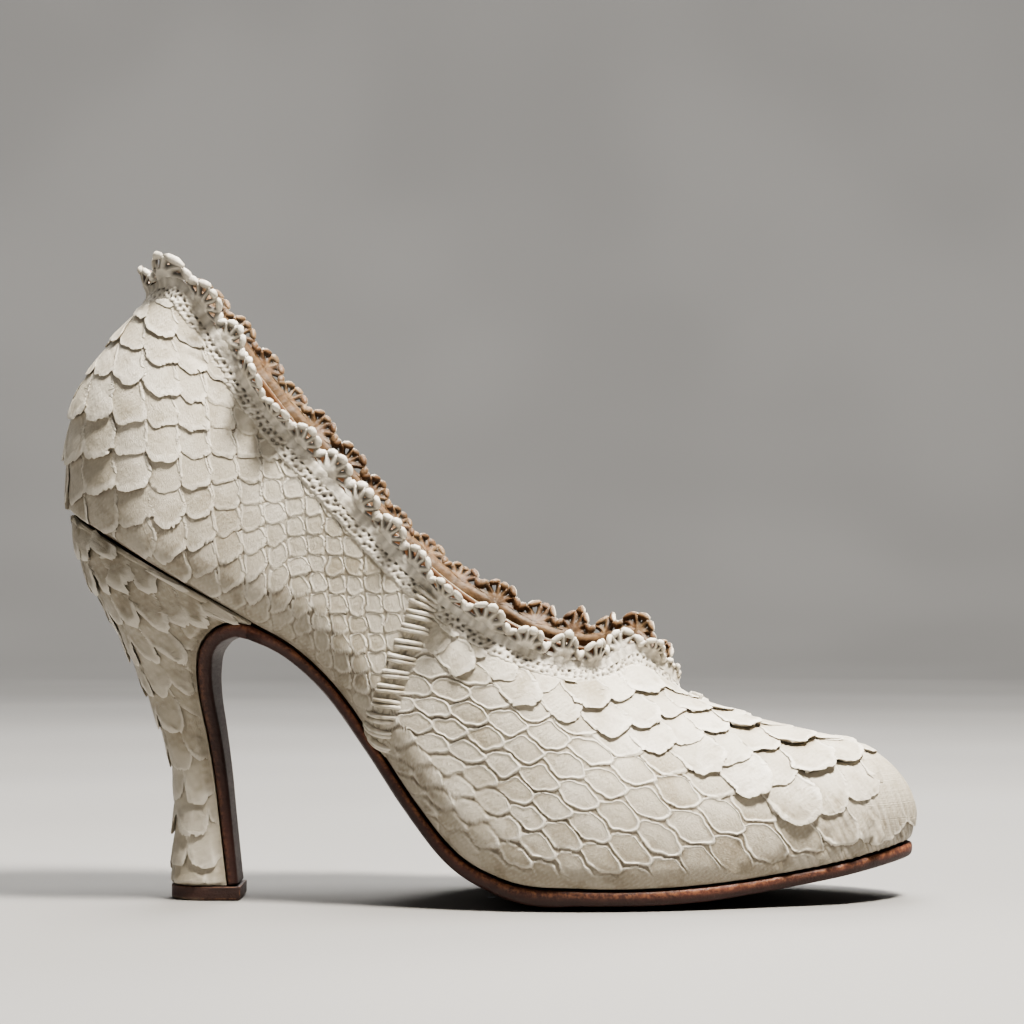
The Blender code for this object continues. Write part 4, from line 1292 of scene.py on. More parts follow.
def rolled_thong(shade):
    """Rolled cream thong: fine twisted lines, greyed in random smears."""
    smear = shade.place().noise(240.0, 2.0, 0.6).between(0.4, 0.7)
    fibre = shade.attribute("own", "Vector").stretched(9.0, 2.0, 1.0).noise(2.0, 2.0, 0.6)
    return {
        "Base Color": (0.7 * smear).tint(CREAM_PALE, CREAM_SHADE),
        "Roughness": 0.62,
        "Normal": fibre.bump(0.5, 0.0003),
    }


medial_flat = side_flat[MEDIAL] * (-1.0, 1.0) + (MEDIAL_SHIFT, 0.0)
side_chart = make_chart(
    "side_chart",
    plain_steps(side_flat[LATERAL], skin_ribs[LATERAL], skin_out[LATERAL]),
    plain_steps(medial_flat, skin_ribs[MEDIAL], skin_out[MEDIAL]),
)
thong = make_finish("thong", rolled_thong)
seam_path = [flat_place(SEAM.at("x", z), z) for z in np.arange(WELT_LOW, WELT_HIGH, WELT_STEP)]
welt_strip = strip("welt_strip", seam_path, WELT_PROFILE)
strand = make_strand("strand")
stitches = stitch_spots()
for name, spots in (("seam_welt", WHOLE), ("seam_welt_medial", WHOLE_MEDIAL)):
    lay(name, side_chart, welt_strip, spots, snakeskin, crumple=WELT_CRUMPLE)
lay("whip_stitches", side_chart, strand, stitches + mirrored(stitches), thong)


# Outsole: brown leather, cemented under the upper and carried down the heel breast. Its edge is stained and
# burnished, its top edge rubbed pale with a painted highlight, its lower edge and the breast darkened with
# painted shade, and its tread scuffed grey.
SOLE = SizeTable(
    ("x", "thick", "crown"),
    [
        (48.5, 3.7, 0.0), (60.0, 3.6, 0.5), (89.0, 3.9, 1.0), (110.0, 5.2, 1.3),
        (119.0, 5.9, 1.4), (132.0, 5.4, 1.4), (152.0, 5.4, 1.4), (161.0, 5.2, 1.3),
        (172.0, 4.7, 1.1), (190.0, 4.3, 0.8), (213.5, 3.8, 0.0),
    ],
)
# The heel's levels from its foot up to the seat; the sole is carried down their fronts
HEEL = SizeTable(
    ("ring", "back_x", "back_z", "front_x", "front_z", "half", "front_half"),
    [
        (0, 26.9, 3.8, 41.4, 3.8, 9.0, 8.6),
        (1, 27.0, 10.0, 40.6, 10.0, 8.8, 8.4),
        (2, 27.6, 20.0, 39.4, 20.0, 8.6, 8.2),
        (3, 27.2, 30.5, 38.1, 31.0, 9.2, 8.7),
        (4, 24.8, 40.0, 36.5, 41.0, 10.5, 9.9),
        (5, 21.0, 50.5, 34.8, 50.0, 12.6, 11.8),
        (6, 16.5, 60.5, 34.2, 57.0, 15.5, 13.8),
        (7, 11.0, 71.0, 35.0, 63.0, 18.8, 16.0),
        (8, 5.5, 81.0, 38.3, 67.5, 21.5, 18.0),
        (9, 2.0, 91.0, 43.6, 69.7, 23.2, 19.3),
        (10, 1.2, 96.6, 48.3, 69.1, 23.6, 19.9),
    ],
)
HEEL_SEAT = 10.0          # the top ring
BREAST_FOOT_THICK, BREAST_HEAD_THICK, BREAST_HEAD, BREAST_STEPS = 2.8, 3.8, 6.0, 100
SOLE_LEAVES_UPPER, SOLE_PROUD, SOLE_GAP = 53.0, 0.8, 0.3
SOLE_CROWN_POWER = 4
SOLE_EDGE_ROUND, SOLE_UNDERCUT, SOLE_EDGE_POWER = 1.3, 0.7, 0.8
SOLE_EDGE_POINTS, SOLE_BELLY_POINTS = 13, 17
SOLE_BROWN, SOLE_DARK, SOLE_RUBBED_AND_LIT = colour(92, 50, 38), colour(46, 26, 22), colour(138, 92, 64)
SCUFF_GREY = colour(140, 126, 112)


def sole_rows():
    """Rows along the sole from the toe, then down the breast: middle, both edges, thickness, crown, dark."""
    rows = []
    for x in STATIONS[:0:-2]:
        if x > SOLE_LEAVES_UPPER:
            lateral = round_in(LATERAL, x, LAST.at("feather_lateral", x) + SOLE_PROUD)
            medial = round_in(MEDIAL, x, LAST.at("feather_medial", x) + SOLE_PROUD)
            middle = (x + toe_lead(x) / 2, BOTTOM.at("z", x))
            rows.append((*middle, lateral, medial, SOLE.at("thick", x), SOLE.at("crown", x), 0.0))
    for ring in np.linspace(HEEL_SEAT, 0.0, BREAST_STEPS + 1):
        half = HEEL.at("front_half", ring) + SOLE_GAP
        thick = BREAST_FOOT_THICK + (BREAST_HEAD_THICK - BREAST_FOOT_THICK) * min(ring / BREAST_HEAD, 1.0)
        middle = (HEEL.at("front_x", ring), HEEL.at("front_z", ring))
        rows.append((*middle, -half, half, thick, 0.0, min(1.0, (HEEL_SEAT - ring) / 2)))
    return np.array(rows).T


def sole_mesh(name, finish):
    """The sole as one closed sweep, with its edges rounded over and drawn in a little underneath."""
    x, z, lateral, medial, thick, crown, breast = sole_rows()
    level = np.zeros_like(x)
    run = unit(np.gradient(np.stack([x, level, z], axis=1), axis=0))
    down = np.stack([-run[:, 2], level, run[:, 0]], axis=1)
    round_size = np.minimum(SOLE_EDGE_ROUND, 0.4 * (thick - crown))
    rims, inner = [], []
    for side, y in ((LATERAL, lateral), (MEDIAL, medial)):
        edge = np.stack([x, y, z], axis=1)
        out = unit(-side * np.cross(np.gradient(edge, axis=0), down))
        rim = []
        for turn in np.linspace(-math.pi / 2, math.pi / 2, SOLE_EDGE_POINTS):
            share = (1 + np.sign(math.sin(turn)) * abs(math.sin(turn)) ** SOLE_EDGE_POWER) / 2
            inset = round_size * (1 - math.cos(turn) ** SOLE_EDGE_POWER) + SOLE_UNDERCUT * share
            depth = SOLE_GAP + share * (thick - crown - SOLE_GAP)
            rim.append((edge - inset[:, None] * out + depth[:, None] * down, share))
        inner.append(rim[-1][0] - depth[:, None] * down)
        rims.append(rim)
    belly = []
    for share in np.linspace(-1.0, 1.0, SOLE_BELLY_POINTS)[1:-1]:
        flat = inner[0] + (inner[1] - inner[0]) * (share + 1) / 2
        belly.append((flat + (thick - crown * abs(share) ** SOLE_CROWN_POWER)[:, None] * down, 1.0))
    closed = rims[0] + belly + rims[1][::-1] + rims[0][:1]
    points = np.stack([place for place, _ in closed], axis=1)
    points[..., 2] = np.maximum(points[..., 2], 0.0)
    shares = np.array([share for _, share in closed])
    # the top of the edge is paler, rubbed and a painted highlight; its lower half and the breast are darker
    # with painted shade
    worn = np.exp(-(((shares - 0.2) / 0.2) ** 2)) * (1 - 0.6 * breast[:, None])
    under = np.maximum(eased(shares, 0.3, 0.75), 0.75 * breast[:, None])
    faces = grid_faces(0, *points.shape[:2])
    faces.append(range((len(x) - 1) * len(shares), len(x) * len(shares) - 1))
    places = to_model(points.reshape(-1, 3))
    mesh = new_mesh(name, places, faces, finish, worn=worn.ravel(), under=under.ravel())
    weld(mesh, outward=True)
    return mesh


def sole_leather(shade, brown, dark, paler):
    """Stained sole leather: streaked along its edge, rubbed pale with a painted highlight at its corners,
    darkened with painted shade underneath, and scuffed where it walks.
    """
    place = shade.place()
    streak = place.stretched(0.25, 0.25, 2.5).noise(600.0, 3.0, 0.6)
    stain = place.noise(70.0, 3.0, 0.6).between(0.35, 0.7)
    chip = place.noise(900.0, 2.0, 0.7).between(0.35, 0.7)
    height = shade.node("ShaderNodeSeparateXYZ", {}, {"Vector": place}, output="Z")
    scuff = place.stretched(1.0, 0.35, 1.0).noise(120.0, 3.0).between(0.4, 0.62)
    tread = (1 - height.between(0.0002, 0.0012)) * scuff
    base = (0.75 * stain).tint(brown, dark)
    base = (0.4 * streak.between(0.45, 0.7)).tint(base, dark)
    # painted shade: the lower half of the sole's edge and the breast are darker
    base = (0.8 * shade.attribute("under")).tint(base, dark)
    # rubbed pale, and a painted highlight, along the top edge and rounded corners
    base = (shade.attribute("worn") * chip).tint(base, paler)
    return {
        "Base Color": (0.6 * tread).tint(base, SCUFF_GREY),
        "Roughness": 0.42 + 0.25 * streak + 0.2 * tread,
        "Normal": (streak + 0.6 * chip).bump(0.4, 0.0003),
    }


brown_leather = make_finish("sole_leather", sole_leather, SOLE_BROWN, SOLE_DARK, SOLE_RUBBED_AND_LIT)
new_piece("sole", sole_mesh("sole", brown_leather), "outsole")


# Heel: a carved block covered in the same snakeskin, drawn tight round it with all tips down. Its top edge
# is turned over in a small lip against the upper.
HEEL_ROUND_SHARE = 0.53
HEEL_SINK = 0.5
HEEL_RINGS, HEEL_ROUND_STEPS, HEEL_SIDE_STEPS = 60 * FINE, 14 * FINE, 7 * FINE
HEEL_GAP_SHADE_AND_DIRT = 0.6           # of the plain skin, where it shows between the plates: painted shade with dirt
LIP_PROFILE = ((-1.2, -0.4), (-0.8, 0.55), (-0.1, 0.85), (0.5, 0.6), (0.8, -0.3))
LIP_DROP, LIP_CRUMPLE = 0.8, 0.4
HEEL_SWELL, HEEL_WAVE, HEEL_FINE_WAVE = (0.5, 0.7), 8.0, 1.8
HEEL_ROW, HEEL_ROW_START = 8.6, 9.0
HEEL_PITCH_LEVELS, HEEL_PITCHES = (30.0, 62.0), (10.2, 7.6)
HEEL_SCALE_LONG, HEEL_OVERLAP = 15.0, 1.75     # length of a plate, and about how many rows it covers
HEEL_STRAY, HEEL_SWING = 0.12, 0.3
HEEL_TIP_HIGHLIGHT = 0.3, 0.9    # along a plate, where it turns pale towards its tip: a painted highlight on the tips and painted shade on the bodies
HEEL_LIFT, HEEL_LIFT_LUCK = 0.75, 0.7
HEEL_PLATE = Plate(0.54, 0.95, 1.0, 2.0, 0.04)
HEEL_LUCK = 20            # row and column of the plates' luck, where the heel's first ones stand
HEEL_BARE, HEEL_FOOT_BARE = (0.3, 3.0), 1.0    # the skin is smooth at the breast and the foot
# painted shade: the heel's skin is darker towards its top, under the upper
HEEL_PAINTED_SHADE, HEEL_PAINTED_SHADE_LEVELS = 0.4, (15.0, 75.0)


def heel_ring(ring):
    """One side of the heel's D at a level, from the middle of its back to its front corner."""
    back_x, back_z, front_x, front_z, half, front_half = (HEEL.at(name, ring) for name in HEEL.columns[1:])
    shares = [HEEL_ROUND_SHARE * (1 - math.cos(a)) for a in np.linspace(0, math.pi / 2, HEEL_ROUND_STEPS + 1)]
    shares += list(np.linspace(HEEL_ROUND_SHARE, 1.0, HEEL_SIDE_STEPS + 1))[1:]
    side = []
    for share in shares:
        width = half * closing(share, HEEL_ROUND_SHARE)
        past = max(0.0, (share - HEEL_ROUND_SHARE) / (1.0 - HEEL_ROUND_SHARE))
        width += (front_half - half) * past**2
        side.append((back_x + (front_x - back_x) * share, width, back_z + (front_z - back_z) * share))
    return side


def heel_sheet():
    """The heel's cover, opened flat: x runs round it to the lateral side from the middle back, y upwards."""
    rings = np.array([heel_ring(ring) for ring in np.linspace(0.0, HEEL_SEAT, HEEL_RINGS + 1)])
    around = summed(np.hypot(np.diff(rings[..., 0], axis=1), np.diff(rings[..., 1], axis=1)), axis=1)
    place = np.concatenate([rings[:, :0:-1], rings * (1, -1, 1)], axis=1)
    flat_x = np.concatenate([-around[:, :0:-1], around], axis=1)
    flat = np.stack([flat_x, place[..., 2]], axis=-1)
    out = unit(np.cross(np.gradient(place, axis=1), np.gradient(place, axis=0)))
    return flat, place - HEEL_SINK * out, out


def heel_cover(name, place, finish):
    """The skin on the block, as a closed skin round its back and sides, with a plain front and ends."""
    rows, columns = place.shape[:2]
    faces = [face[::-1] for face in grid_faces(0, rows, columns)]
    for row in range(rows - 1):
        left, right = row * columns, row * columns + columns - 1
        faces.append((left, left + columns, right + columns, right))
    faces.append(range(columns))
    faces.append(range(rows * columns - 1, (rows - 1) * columns - 1, -1))
    # painted shade with dirt on the plain skin, which shows only between the plates
    gap_shade_and_dirt = np.full(rows * columns, HEEL_GAP_SHADE_AND_DIRT)
    return new_mesh(name, to_model(place.reshape(-1, 3)), faces, finish, sunk=gap_shade_and_dirt)


def heel_relief(x, z):
    """Staggered columns of long plates with lifted points, bigger towards the foot of the heel."""
    relief = Relief(x)
    warped_x = x + wander(x, z, HEEL_SWELL[0], HEEL_WAVE, HEEL_FINE_WAVE, 41)
    warped_z = z + wander(x, z, HEEL_SWELL[1], HEEL_WAVE, HEEL_FINE_WAVE, 43)
    level = (warped_z - HEEL_ROW_START) / HEEL_ROW
    for row_step in (-1, 0, 1, 2):
        row = np.floor(level) + row_step
        middle_z = HEEL_ROW_START + HEEL_ROW * row
        pitch = np.interp(middle_z, HEEL_PITCH_LEVELS, HEEL_PITCHES)
        shift = 0.5 * (row % 2)
        for column_step in (-1, 0, 1):
            column = np.rint(warped_x / pitch - shift) + column_step
            tone, luck, turn, wide, long = luck_of(column + HEEL_LUCK, row + HEEL_LUCK)
            aside = warped_x / pitch - column - shift
            below = (middle_z - warped_z) / HEEL_SCALE_LONG * HEEL_OVERLAP + HEEL_STRAY * (long - 0.5)
            across = aside - HEEL_SWING * (turn - 0.5) * below
            edge = tongue(across, below, HEEL_PLATE, wide)
            # random tone, with a painted highlight that grows towards each plate's tip
            paler = 0.4 * tone + 0.6 * eased(below, *HEEL_TIP_HIGHLIGHT)
            lift = HEEL_LIFT + HEEL_LIFT_LUCK * luck
            relief.raise_plate(edge, across, below, pitch, lift, 1.0, paler)
    from_breast = np.minimum(x - x[:, :1], x[:, -1:] - x)
    relief.fade(eased(from_breast, *HEEL_BARE) * eased(z, z.min(), z.min() + HEEL_FOOT_BARE))
    relief.height = relief.height + GRAIN_HIGH * ripple(x, z, GRAIN_WAVE, 45)
    # painted shade, darker towards the top of the heel
    relief.shade_and_soil = HEEL_PAINTED_SHADE * eased(z, *HEEL_PAINTED_SHADE_LEVELS)
    return relief


heel_flat, heel_place, heel_out = heel_sheet()
plain_heel = plain_steps(heel_flat, heel_place, heel_out)
heel_chart = make_chart("heel_chart", plain_heel)
new_piece("heel_skin", heel_cover("heel_skin", plain_heel[1], snakeskin), "heel")
relief = heel_relief(heel_flat[..., 0], heel_flat[..., 1])
points = relief.laid_on(heel_place, heel_out).reshape(-1, 3)
quads = np.array(grid_faces(0, *heel_place.shape[:2]))[:, ::-1]
skin_sheet("heel_scales", points, cut_quads(quads, heel_place, relief.height), relief.attributes())
lip_strip = strip("lip_strip", heel_flat[-1, ::FINE] - (0.0, LIP_DROP), LIP_PROFILE)
lay("heel_lip", heel_chart, lip_strip, WHOLE, snakeskin, crumple=LIP_CRUMPLE)


# Heel top piece: dark brown leather lifts, pegged under the heel and worn round at the ground. It is the
# solid part with its sharp edges rounded, and paler along them: rubbed, and a painted highlight.
TOP_BROWN, TOP_DARK, TOP_RUBBED_AND_LIT = colour(74, 48, 40), colour(38, 25, 22), colour(120, 84, 62)
TOP_ROUND, TOP_SHARP = 0.35, math.radians(40.0)


def rounded_copy(node, name, finish):
    """A copy of a solid part with its sharp edges rounded. Its worn attribute is 1 along those edges, which
    the finish paints pale: rubbed, and a painted highlight.
    """
    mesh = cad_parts[node].data.copy()
    mesh.name = name
    shape = bmesh.new()
    shape.from_mesh(mesh)
    bmesh.ops.remove_doubles(shape, verts=shape.verts, dist=MERGE)
    worn = shape.faces.layers.float.new("worn")
    sharp = [edge for edge in shape.edges if edge.is_manifold and edge.calc_face_angle(0.0) > TOP_SHARP]
    bevel = bmesh.ops.bevel(
        shape, geom=sharp, offset=TOP_ROUND * MILLIMETRE, segments=3, profile=0.5, affect="EDGES",
        clamp_overlap=True,
    )
    for face in bevel["faces"]:
        face[worn] = 1.0
    shape.to_mesh(mesh)
    shape.free()
    mesh.shade_smooth()
    mesh.materials.clear()
    mesh.materials.append(finish)
    return mesh


top_leather = make_finish("top_leather", sole_leather, TOP_BROWN, TOP_DARK, TOP_RUBBED_AND_LIT)
top_mesh = rounded_copy("heel_top_piece", "top_lift", top_leather)
new_piece("top_lift", top_mesh, "heel_top_piece")


# Collar: a pricked band over the topline, with a frill sewn into it. Each lobe of the frill is a fan of
# five cut petals, white outside and tan inside, and is edged with rolled picots like beads.
FRILL_HEIGHT, FRILL_END_HEIGHT, FRILL_TAPER = 6.9, 2.2, 27.0
FRILL_PITCH, FRILL_END_PITCH = 11.0, 6.0
FRILL_ENDS, FRILL_TAPER_SHIFT = 1.0, 3.0
FRILL_FLARE = math.radians(30.0)
FRILL_FLARE_HIGH = 3.0    # over which the frill bends out
FRILL_LEAN = -0.4, 0.65   # limits of a lobe's own lean, in radians
FRILL_RUFFLE, FRILL_RUFFLE_HIGH = 1.3, 7.0     # lobes stand out and valleys in by this at the edge
FRILL_FOOT = 1.7          # height of the uncut foot that joins the lobes
FRILL_CRUMPLE = 0.9
# painted shade with grime, for the cuts, holes, roots and joins
FRILL_GRIME_AND_SHADE = colour(46, 37, 26)
FRILL_INSIDE, FRILL_STAIN, FRILL_RUBBED = colour(98, 70, 44), colour(62, 41, 24), colour(150, 126, 94)
TOPLINE_STEP = 1.0
COLLAR_LEVELS = np.linspace(-7.0, 10.0, 35)    # of the sheet that band and frill are laid on
COLLAR_BEND = 60.0        # twice the radius with which the skin curves down from the topline
PETALS = 5
OPEN_PETALS = 0.55, 0.2   # share of them with a wide hole, on the lateral and the medial side
OPEN_HOLE, CLOSE_HOLE = (0.56, 0.19), (0.24, 0.07)        # half width and length of the holes
PETAL_SPREAD = math.radians(30.0)
PETAL_LAP = 0.02          # of a petal over the next
PETAL_ROOT, PETAL_LOW, PETAL_END, HOLE_MIDDLE = 0.08, 0.4, 0.97, 0.7
PETAL_DROP = 0.3          # of the holes' rims
PETAL_THICK, PETAL_SIDE = 0.85, 0.35           # the outer petals reach this far past their lobe
BEAD_SIDES, BEAD_RINGS = 8, 5
BEAD_WIDE, BEAD_LONG, BEAD_LEAST, BEAD_THICK = 0.58, 0.34, 0.3, 1.7       # the first two are of its petal
BAND_LOW, BAND_HIGH, BAND_STEP = -3.8, 0.9, 0.3
BAND_MIDDLE = (BAND_LOW + BAND_HIGH) / 2
BAND_THICK, BAND_SINK, BAND_EDGE = 0.55, 0.15, 0.7
PRICK_PITCH = 1.7
PRICK_ROWS = (-0.9, 0.0), (0.7, 0.5)           # place across the band and shift along it
PRICK_DEEP = 0.75
FOOT_STEP, FOOT_LEVEL = 0.8, 1.0
FOOT_PROFILE = (
    (-1.2, 0.45), (0.2, 0.5), (1.5, 0.42), (1.7, 0.0), (1.5, -0.42), (0.2, -0.5), (-1.2, -0.45),
)


def topline_frames(step):
    """Points at even spacing along the topline, from the V round the heel to the V, with the direction in
    which the wall ends there and the outward direction across it."""
    samples = []
    for side in (LATERAL, MEDIAL):
        shares = np.linspace(0.0, 1.0, 400)
        for share in shares[::-1] if side == LATERAL else shares[1:]:
            x = FEATHER_BACK + (FRILL_END - FEATHER_BACK) * (1 - math.cos(share * math.pi / 2))
            _, _, top, _, _, ending, _ = rib(side, x)
            samples.append(np.concatenate([top, ending]))
    samples = np.array(samples)
    travel = summed(np.linalg.norm(np.diff(samples[:, :3], axis=0), axis=1))
    even = np.linspace(0.0, travel[-1], int(round(travel[-1] / step)) + 1)
    samples = np.stack([np.interp(even, travel, column) for column in samples.T], axis=1)
    tops, endings = samples[:, :3], samples[:, 3:]
    tangent = unit(np.gradient(tops, axis=0))
    endings = unit(endings - np.sum(endings * tangent, axis=1)[:, None] * tangent)
    return even, tops, endings, np.cross(endings, tangent)


def frill_lobes(length):
    """Middle, width and height of each lobe along the topline, smaller towards the V at both ends."""
    lobes, place = [], FRILL_ENDS
    while place < length - FRILL_ENDS:
        start, end = place + FRILL_TAPER_SHIFT, length - place - FRILL_TAPER_SHIFT
        taper = max(min(1.0, start / FRILL_TAPER, end / FRILL_TAPER), 0.0)
        width = FRILL_END_PITCH + (FRILL_PITCH - FRILL_END_PITCH) * taper
        width *= chance.uniform(0.88, 1.12)
        height = FRILL_END_HEIGHT + (FRILL_HEIGHT - FRILL_END_HEIGHT) * taper
        lobes.append((place + width / 2, width, height * chance.uniform(0.84, 1.14)))
        place += width
    return lobes


def collar_sheet(lobes):
    """The skin below the topline and the frill above it as one flat sheet, x against the travel, y up."""
    travel, tops, endings, outward = topline_frames(TOPLINE_STEP)
    middles, widths, _ = np.array(lobes).T
    phase = np.interp(travel, middles, np.arange(len(lobes)))
    ruffle = FRILL_RUFFLE * np.cos(2 * math.pi * phase) * np.interp(travel, middles, widths / FRILL_PITCH)
    lean = np.interp(travel, middles, chance.uniform(*FRILL_LEAN, len(lobes)))
    flat = np.stack(np.meshgrid(-travel, COLLAR_LEVELS, indexing="ij"), axis=-1)
    place = np.zeros((*flat.shape[:2], 3))
    for k, level in enumerate(COLLAR_LEVELS):
        if level <= 0.0:
            place[:, k] = tops + endings * level - outward * (level**2 / COLLAR_BEND)
        else:
            angle = (FRILL_FLARE + lean) * min(1.0, level / FRILL_FLARE_HIGH)
            up = np.cos(angle)[:, None] * endings + np.sin(angle)[:, None] * outward
            place[:, k] = tops + up * level + outward * (ruffle * level / FRILL_RUFFLE_HIGH)[:, None]
    out = unit(np.cross(np.gradient(place, axis=1), np.gradient(place, axis=0)))
    return flat, place, out


def make_petal(name, hole_wide, hole_long):
    """One petal of a lobe, from its root at the origin to its end a unit up, with a teardrop hole."""
    half = PETAL_SPREAD / 2 + PETAL_LAP
    shape = bmesh.new()
    back = shape.verts.layers.float.new("back")
    sunk = shape.verts.layers.float.new("sunk")

    def add(turn, radius, face, drop):
        height = face * (0.5 - drop)
        point = shape.verts.new((radius * math.sin(turn), radius * math.cos(turn), height))
        point[back] = 0.0 if face > 0 else 1.0
        # painted shade with grime: dark round the holes' rims and at the root
        point[sunk] = 3.4 * drop if radius > 0.3 else 0.5
        return point

    corners = [(-1, PETAL_LOW), (1, PETAL_LOW), (1, PETAL_END), (-1, PETAL_END)]
    border = []
    for (start, low), (end, high) in zip(corners, corners[1:] + corners[:1]):
        for t in (0.0, 0.25, 0.5, 0.75):
            border.append((start + (end - start) * t, low + (high - low) * t))
    layers = {}
    for face in (1, -1):
        rim, hole = [], []
        for k, (share, radius) in enumerate(border):
            rim.append(add(share * half, radius, face, 0.0))
            around = 2 * math.pi * (k - 2) / len(border) - math.pi / 2
            reach = HOLE_MIDDLE + hole_long * math.sin(around)
            wide = hole_wide * (0.7 + 0.3 * math.sin(around))
            hole.append(add(wide * math.cos(around) * half, reach, face, PETAL_DROP))
        root = [add(share * half, PETAL_ROOT, face, 0.0) for share in (-1.0, -0.5, 0.0, 0.5, 1.0)]
        layers[face] = (rim, hole)
        quads = []
        for k in range(len(border)):
            m = (k + 1) % len(border)
            quads.append((rim[k], rim[m], hole[m], hole[k]))
        for k in range(4):
            quads.append((root[k], root[k + 1], rim[k + 1], rim[k]))
        for quad in quads:
            shape.faces.new(quad if face > 0 else quad[::-1])
    (front_rim, front_hole), (rear_rim, rear_hole) = layers[1], layers[-1]
    for k in range(len(border)):
        m = (k + 1) % len(border)
        shape.faces.new((front_hole[k], front_hole[m], rear_hole[m], rear_hole[k]))
        if 8 <= k < 12:
            shape.faces.new((front_rim[m], front_rim[k], rear_rim[k], rear_rim[m]))
    mesh = bpy.data.meshes.new(name)
    shape.to_mesh(mesh)
    shape.free()
    return new_object(name, mesh)


def make_bead(name):
    """A picot a unit wide each way, as a rolled bead."""
    shape = bmesh.new()
    bmesh.ops.create_uvsphere(shape, u_segments=BEAD_SIDES, v_segments=BEAD_RINGS, radius=0.5)
    back = shape.verts.layers.float.new("back")
    sunk = shape.verts.layers.float.new("sunk")
    for point in shape.verts:
        point[back] = min(1.0, max(0.0, 0.45 - 1.2 * point.co.z))
        # painted shade: darker on the side towards its petal
        point[sunk] = min(1.0, max(0.0, -1.4 * point.co.y))
    mesh = bpy.data.meshes.new(name)
    shape.to_mesh(mesh)
    shape.free()
    return new_object(name, mesh)


def frill_spots(lobes, length):
    """Spots of the petals with a wide hole, of those with a small one, and of the beads at their ends."""
    open_petals, close_petals, beads = [], [], []
    for middle, width, height in lobes:
        open_share = OPEN_PETALS[0] if middle < length / 2 else OPEN_PETALS[1]
        for k in range(PETALS):
            turn = PETAL_SPREAD * (k - (PETALS - 1) / 2)
            share = abs(math.sin(turn))
            up = height - FRILL_FOOT * height / FRILL_HEIGHT
            reach = (up * (1 - share) + (0.5 * width + PETAL_SIDE) * share) * chance.uniform(0.96, 1.05)
            base = (-middle, height - up)
            tone = chance.uniform(0.0, 1.0)
            petals = open_petals if chance.uniform(0.0, 1.0) < open_share else close_petals
            petals.append((base, -turn, (reach, reach, PETAL_THICK), tone))
            end = (base[0] + reach * math.sin(turn), base[1] + reach * math.cos(turn))
            wide = BEAD_WIDE * reach * chance.uniform(0.92, 1.05)
            beads.append((end, -turn, (wide, BEAD_LONG * reach + BEAD_LEAST, BEAD_THICK), tone))
    return open_petals, close_petals, beads


def pricked(along, aside, height):
    """Two uneven zigzag rows of stitch holes in a puckered, granular band."""
    pucker = math.sin(3.1 * along + 2.0 * math.sin(1.3 * aside)) * math.sin(3.7 * aside + 0.9 * along)
    pucker += 0.7 * math.sin(5.3 * along - 4.1 * aside)
    # painted shade with grime: darker in the pucker's hollows and in the stitch holes
    deep, dirt_and_shade = 0.11 * pucker, 0.1 + 0.14 * max(0.0, pucker)
    for row, shift in PRICK_ROWS:
        number = math.floor(along / PRICK_PITCH + shift)
        tone, luck, turn, wide, long = CHANCES[number % LUCK_SIZE, int(2 * shift)]
        across = (along / PRICK_PITCH + shift - number - 0.5 - 0.4 * (turn - 0.5)) * PRICK_PITCH
        upward = aside - row - 0.9 * (luck - 0.5)
        near = math.exp(-((across / (0.3 + 0.25 * wide)) ** 2) - ((upward / (0.25 + 0.2 * long)) ** 2))
        deep += PRICK_DEEP * near
        dirt_and_shade += (0.6 + 0.6 * tone) * near
    return deep, min(dirt_and_shade, 1.0)


def gathered(along, aside, height):
    """Small gathers where the frill is sewn in."""
    fold = math.sin(2.6 * along + 0.8 * math.sin(0.7 * along))
    # painted shade with grime in the gathers' hollows
    return 0.12 * fold * (1.2 - aside) / 2.4, 0.25 + 0.2 * fold


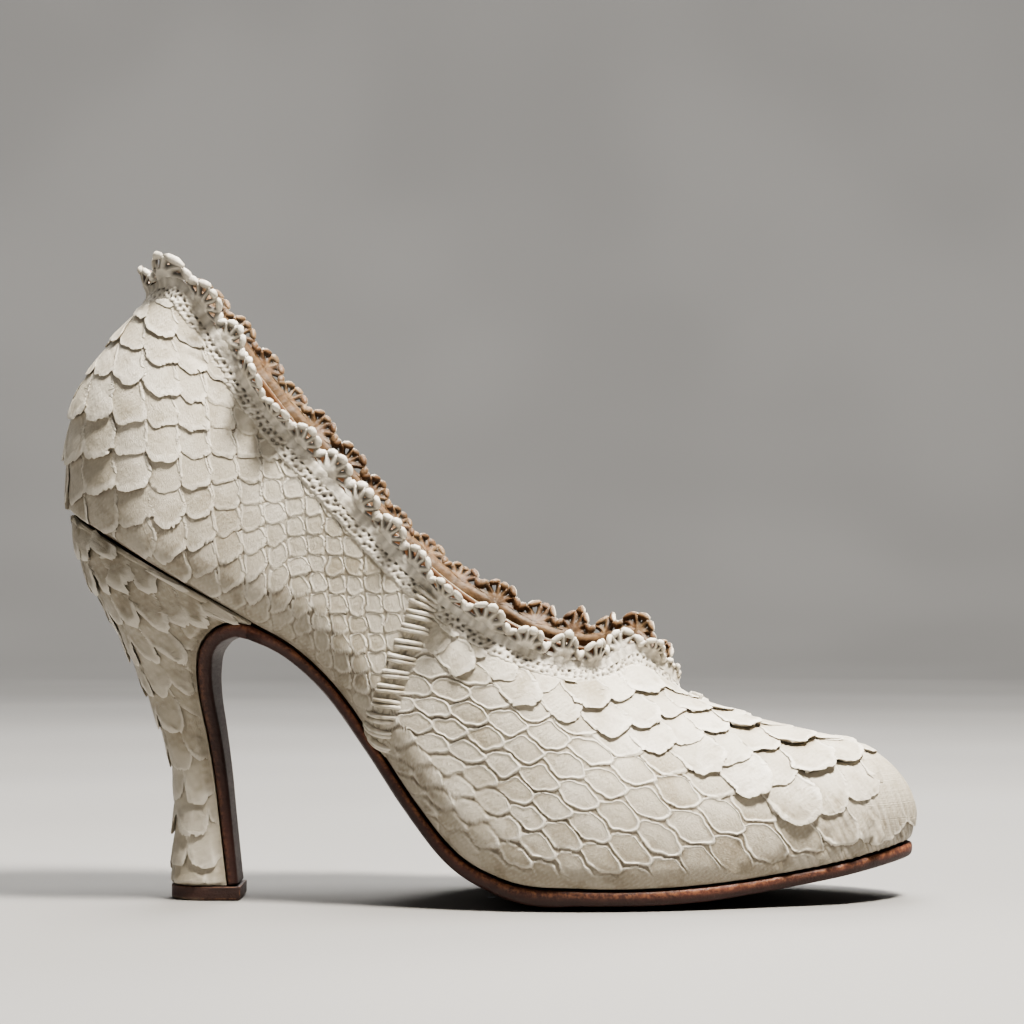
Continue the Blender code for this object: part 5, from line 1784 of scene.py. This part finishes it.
def lace_leather(shade):
    """Lace-cut leather: white and a little soiled outside, tan inside, both darkened at the cuts, roots and
    joins with painted shade and grime.
    """
    place = shade.place()
    smear = place.noise(220.0, 2.0, 0.65).between(0.4, 0.72)
    grain = place.noise(1100.0, 2.0, 0.6)
    front = (0.4 * smear).tint(CREAM_PALE, CREAM_SHADE)
    inside = (0.8 * smear).tint(FRILL_INSIDE, FRILL_STAIN)
    inside = (0.5 * shade.attribute("tone")).tint(inside, FRILL_RUBBED)
    base = shade.attribute("back").between(0.35, 0.8).tint(front, inside)
    return {
        "Base Color": (0.9 * shade.attribute("sunk")).tint(base, FRILL_GRIME_AND_SHADE),
        "Roughness": 0.5 + 0.2 * grain,
        "Normal": (grain + 0.5 * smear).bump(0.5, 0.0003),
    }


def band_profile():
    """The band across, rounded down at both edges."""
    profile = []
    for level in np.arange(BAND_LOW, BAND_HIGH + 0.01, BAND_STEP):
        edge = min(1.0, (level - BAND_LOW) / BAND_EDGE, (BAND_HIGH - level) / BAND_EDGE)
        profile.append((level - BAND_MIDDLE, BAND_THICK * max(0.0, edge) ** 0.6 - BAND_SINK))
    return profile


def collar_path(length, step, level):
    """A path along the topline at a level of the collar's sheet."""
    return [(x, level) for x in np.arange(-length, 0.1, step)]


frill_leather = make_finish("frill_leather", lace_leather)
topline_length = topline_frames(TOPLINE_STEP)[0][-1]
lobes = frill_lobes(topline_length)
collar_chart = make_chart("collar_chart", collar_sheet(lobes))
band_path = collar_path(topline_length, BAND_STEP, BAND_MIDDLE)
band_strip = strip("band_strip", band_path, band_profile(), pricked)
foot_strip = strip("foot_strip", collar_path(topline_length, FOOT_STEP, FOOT_LEVEL), FOOT_PROFILE, gathered)
open_petal = make_petal("open_petal", *OPEN_HOLE)
close_petal = make_petal("close_petal", *CLOSE_HOLE)
bead = make_bead("bead")
open_petals, close_petals, beads = frill_spots(lobes, topline_length)
collar_pieces = (
    ("collar_band", band_strip, WHOLE, "collar_trim"),
    ("frill_petals", open_petal, open_petals, None),
    ("frill_close_petals", close_petal, close_petals, None),
    ("frill_beads", bead, beads, None),
    ("frill_foot", foot_strip, WHOLE, None),
)
for name, motif, spots, node in collar_pieces:
    lay(name, collar_chart, motif, spots, frill_leather, node, FRILL_CRUMPLE)


# End: the charts and motifs are no pieces of the shoe and go, now that all is laid.
charts = (side_chart, heel_chart, collar_chart)
motifs = (welt_strip, strand, lip_strip, band_strip, foot_strip, open_petal, close_petal, bead)
for helper in charts + motifs:
    bpy.data.objects.remove(helper)
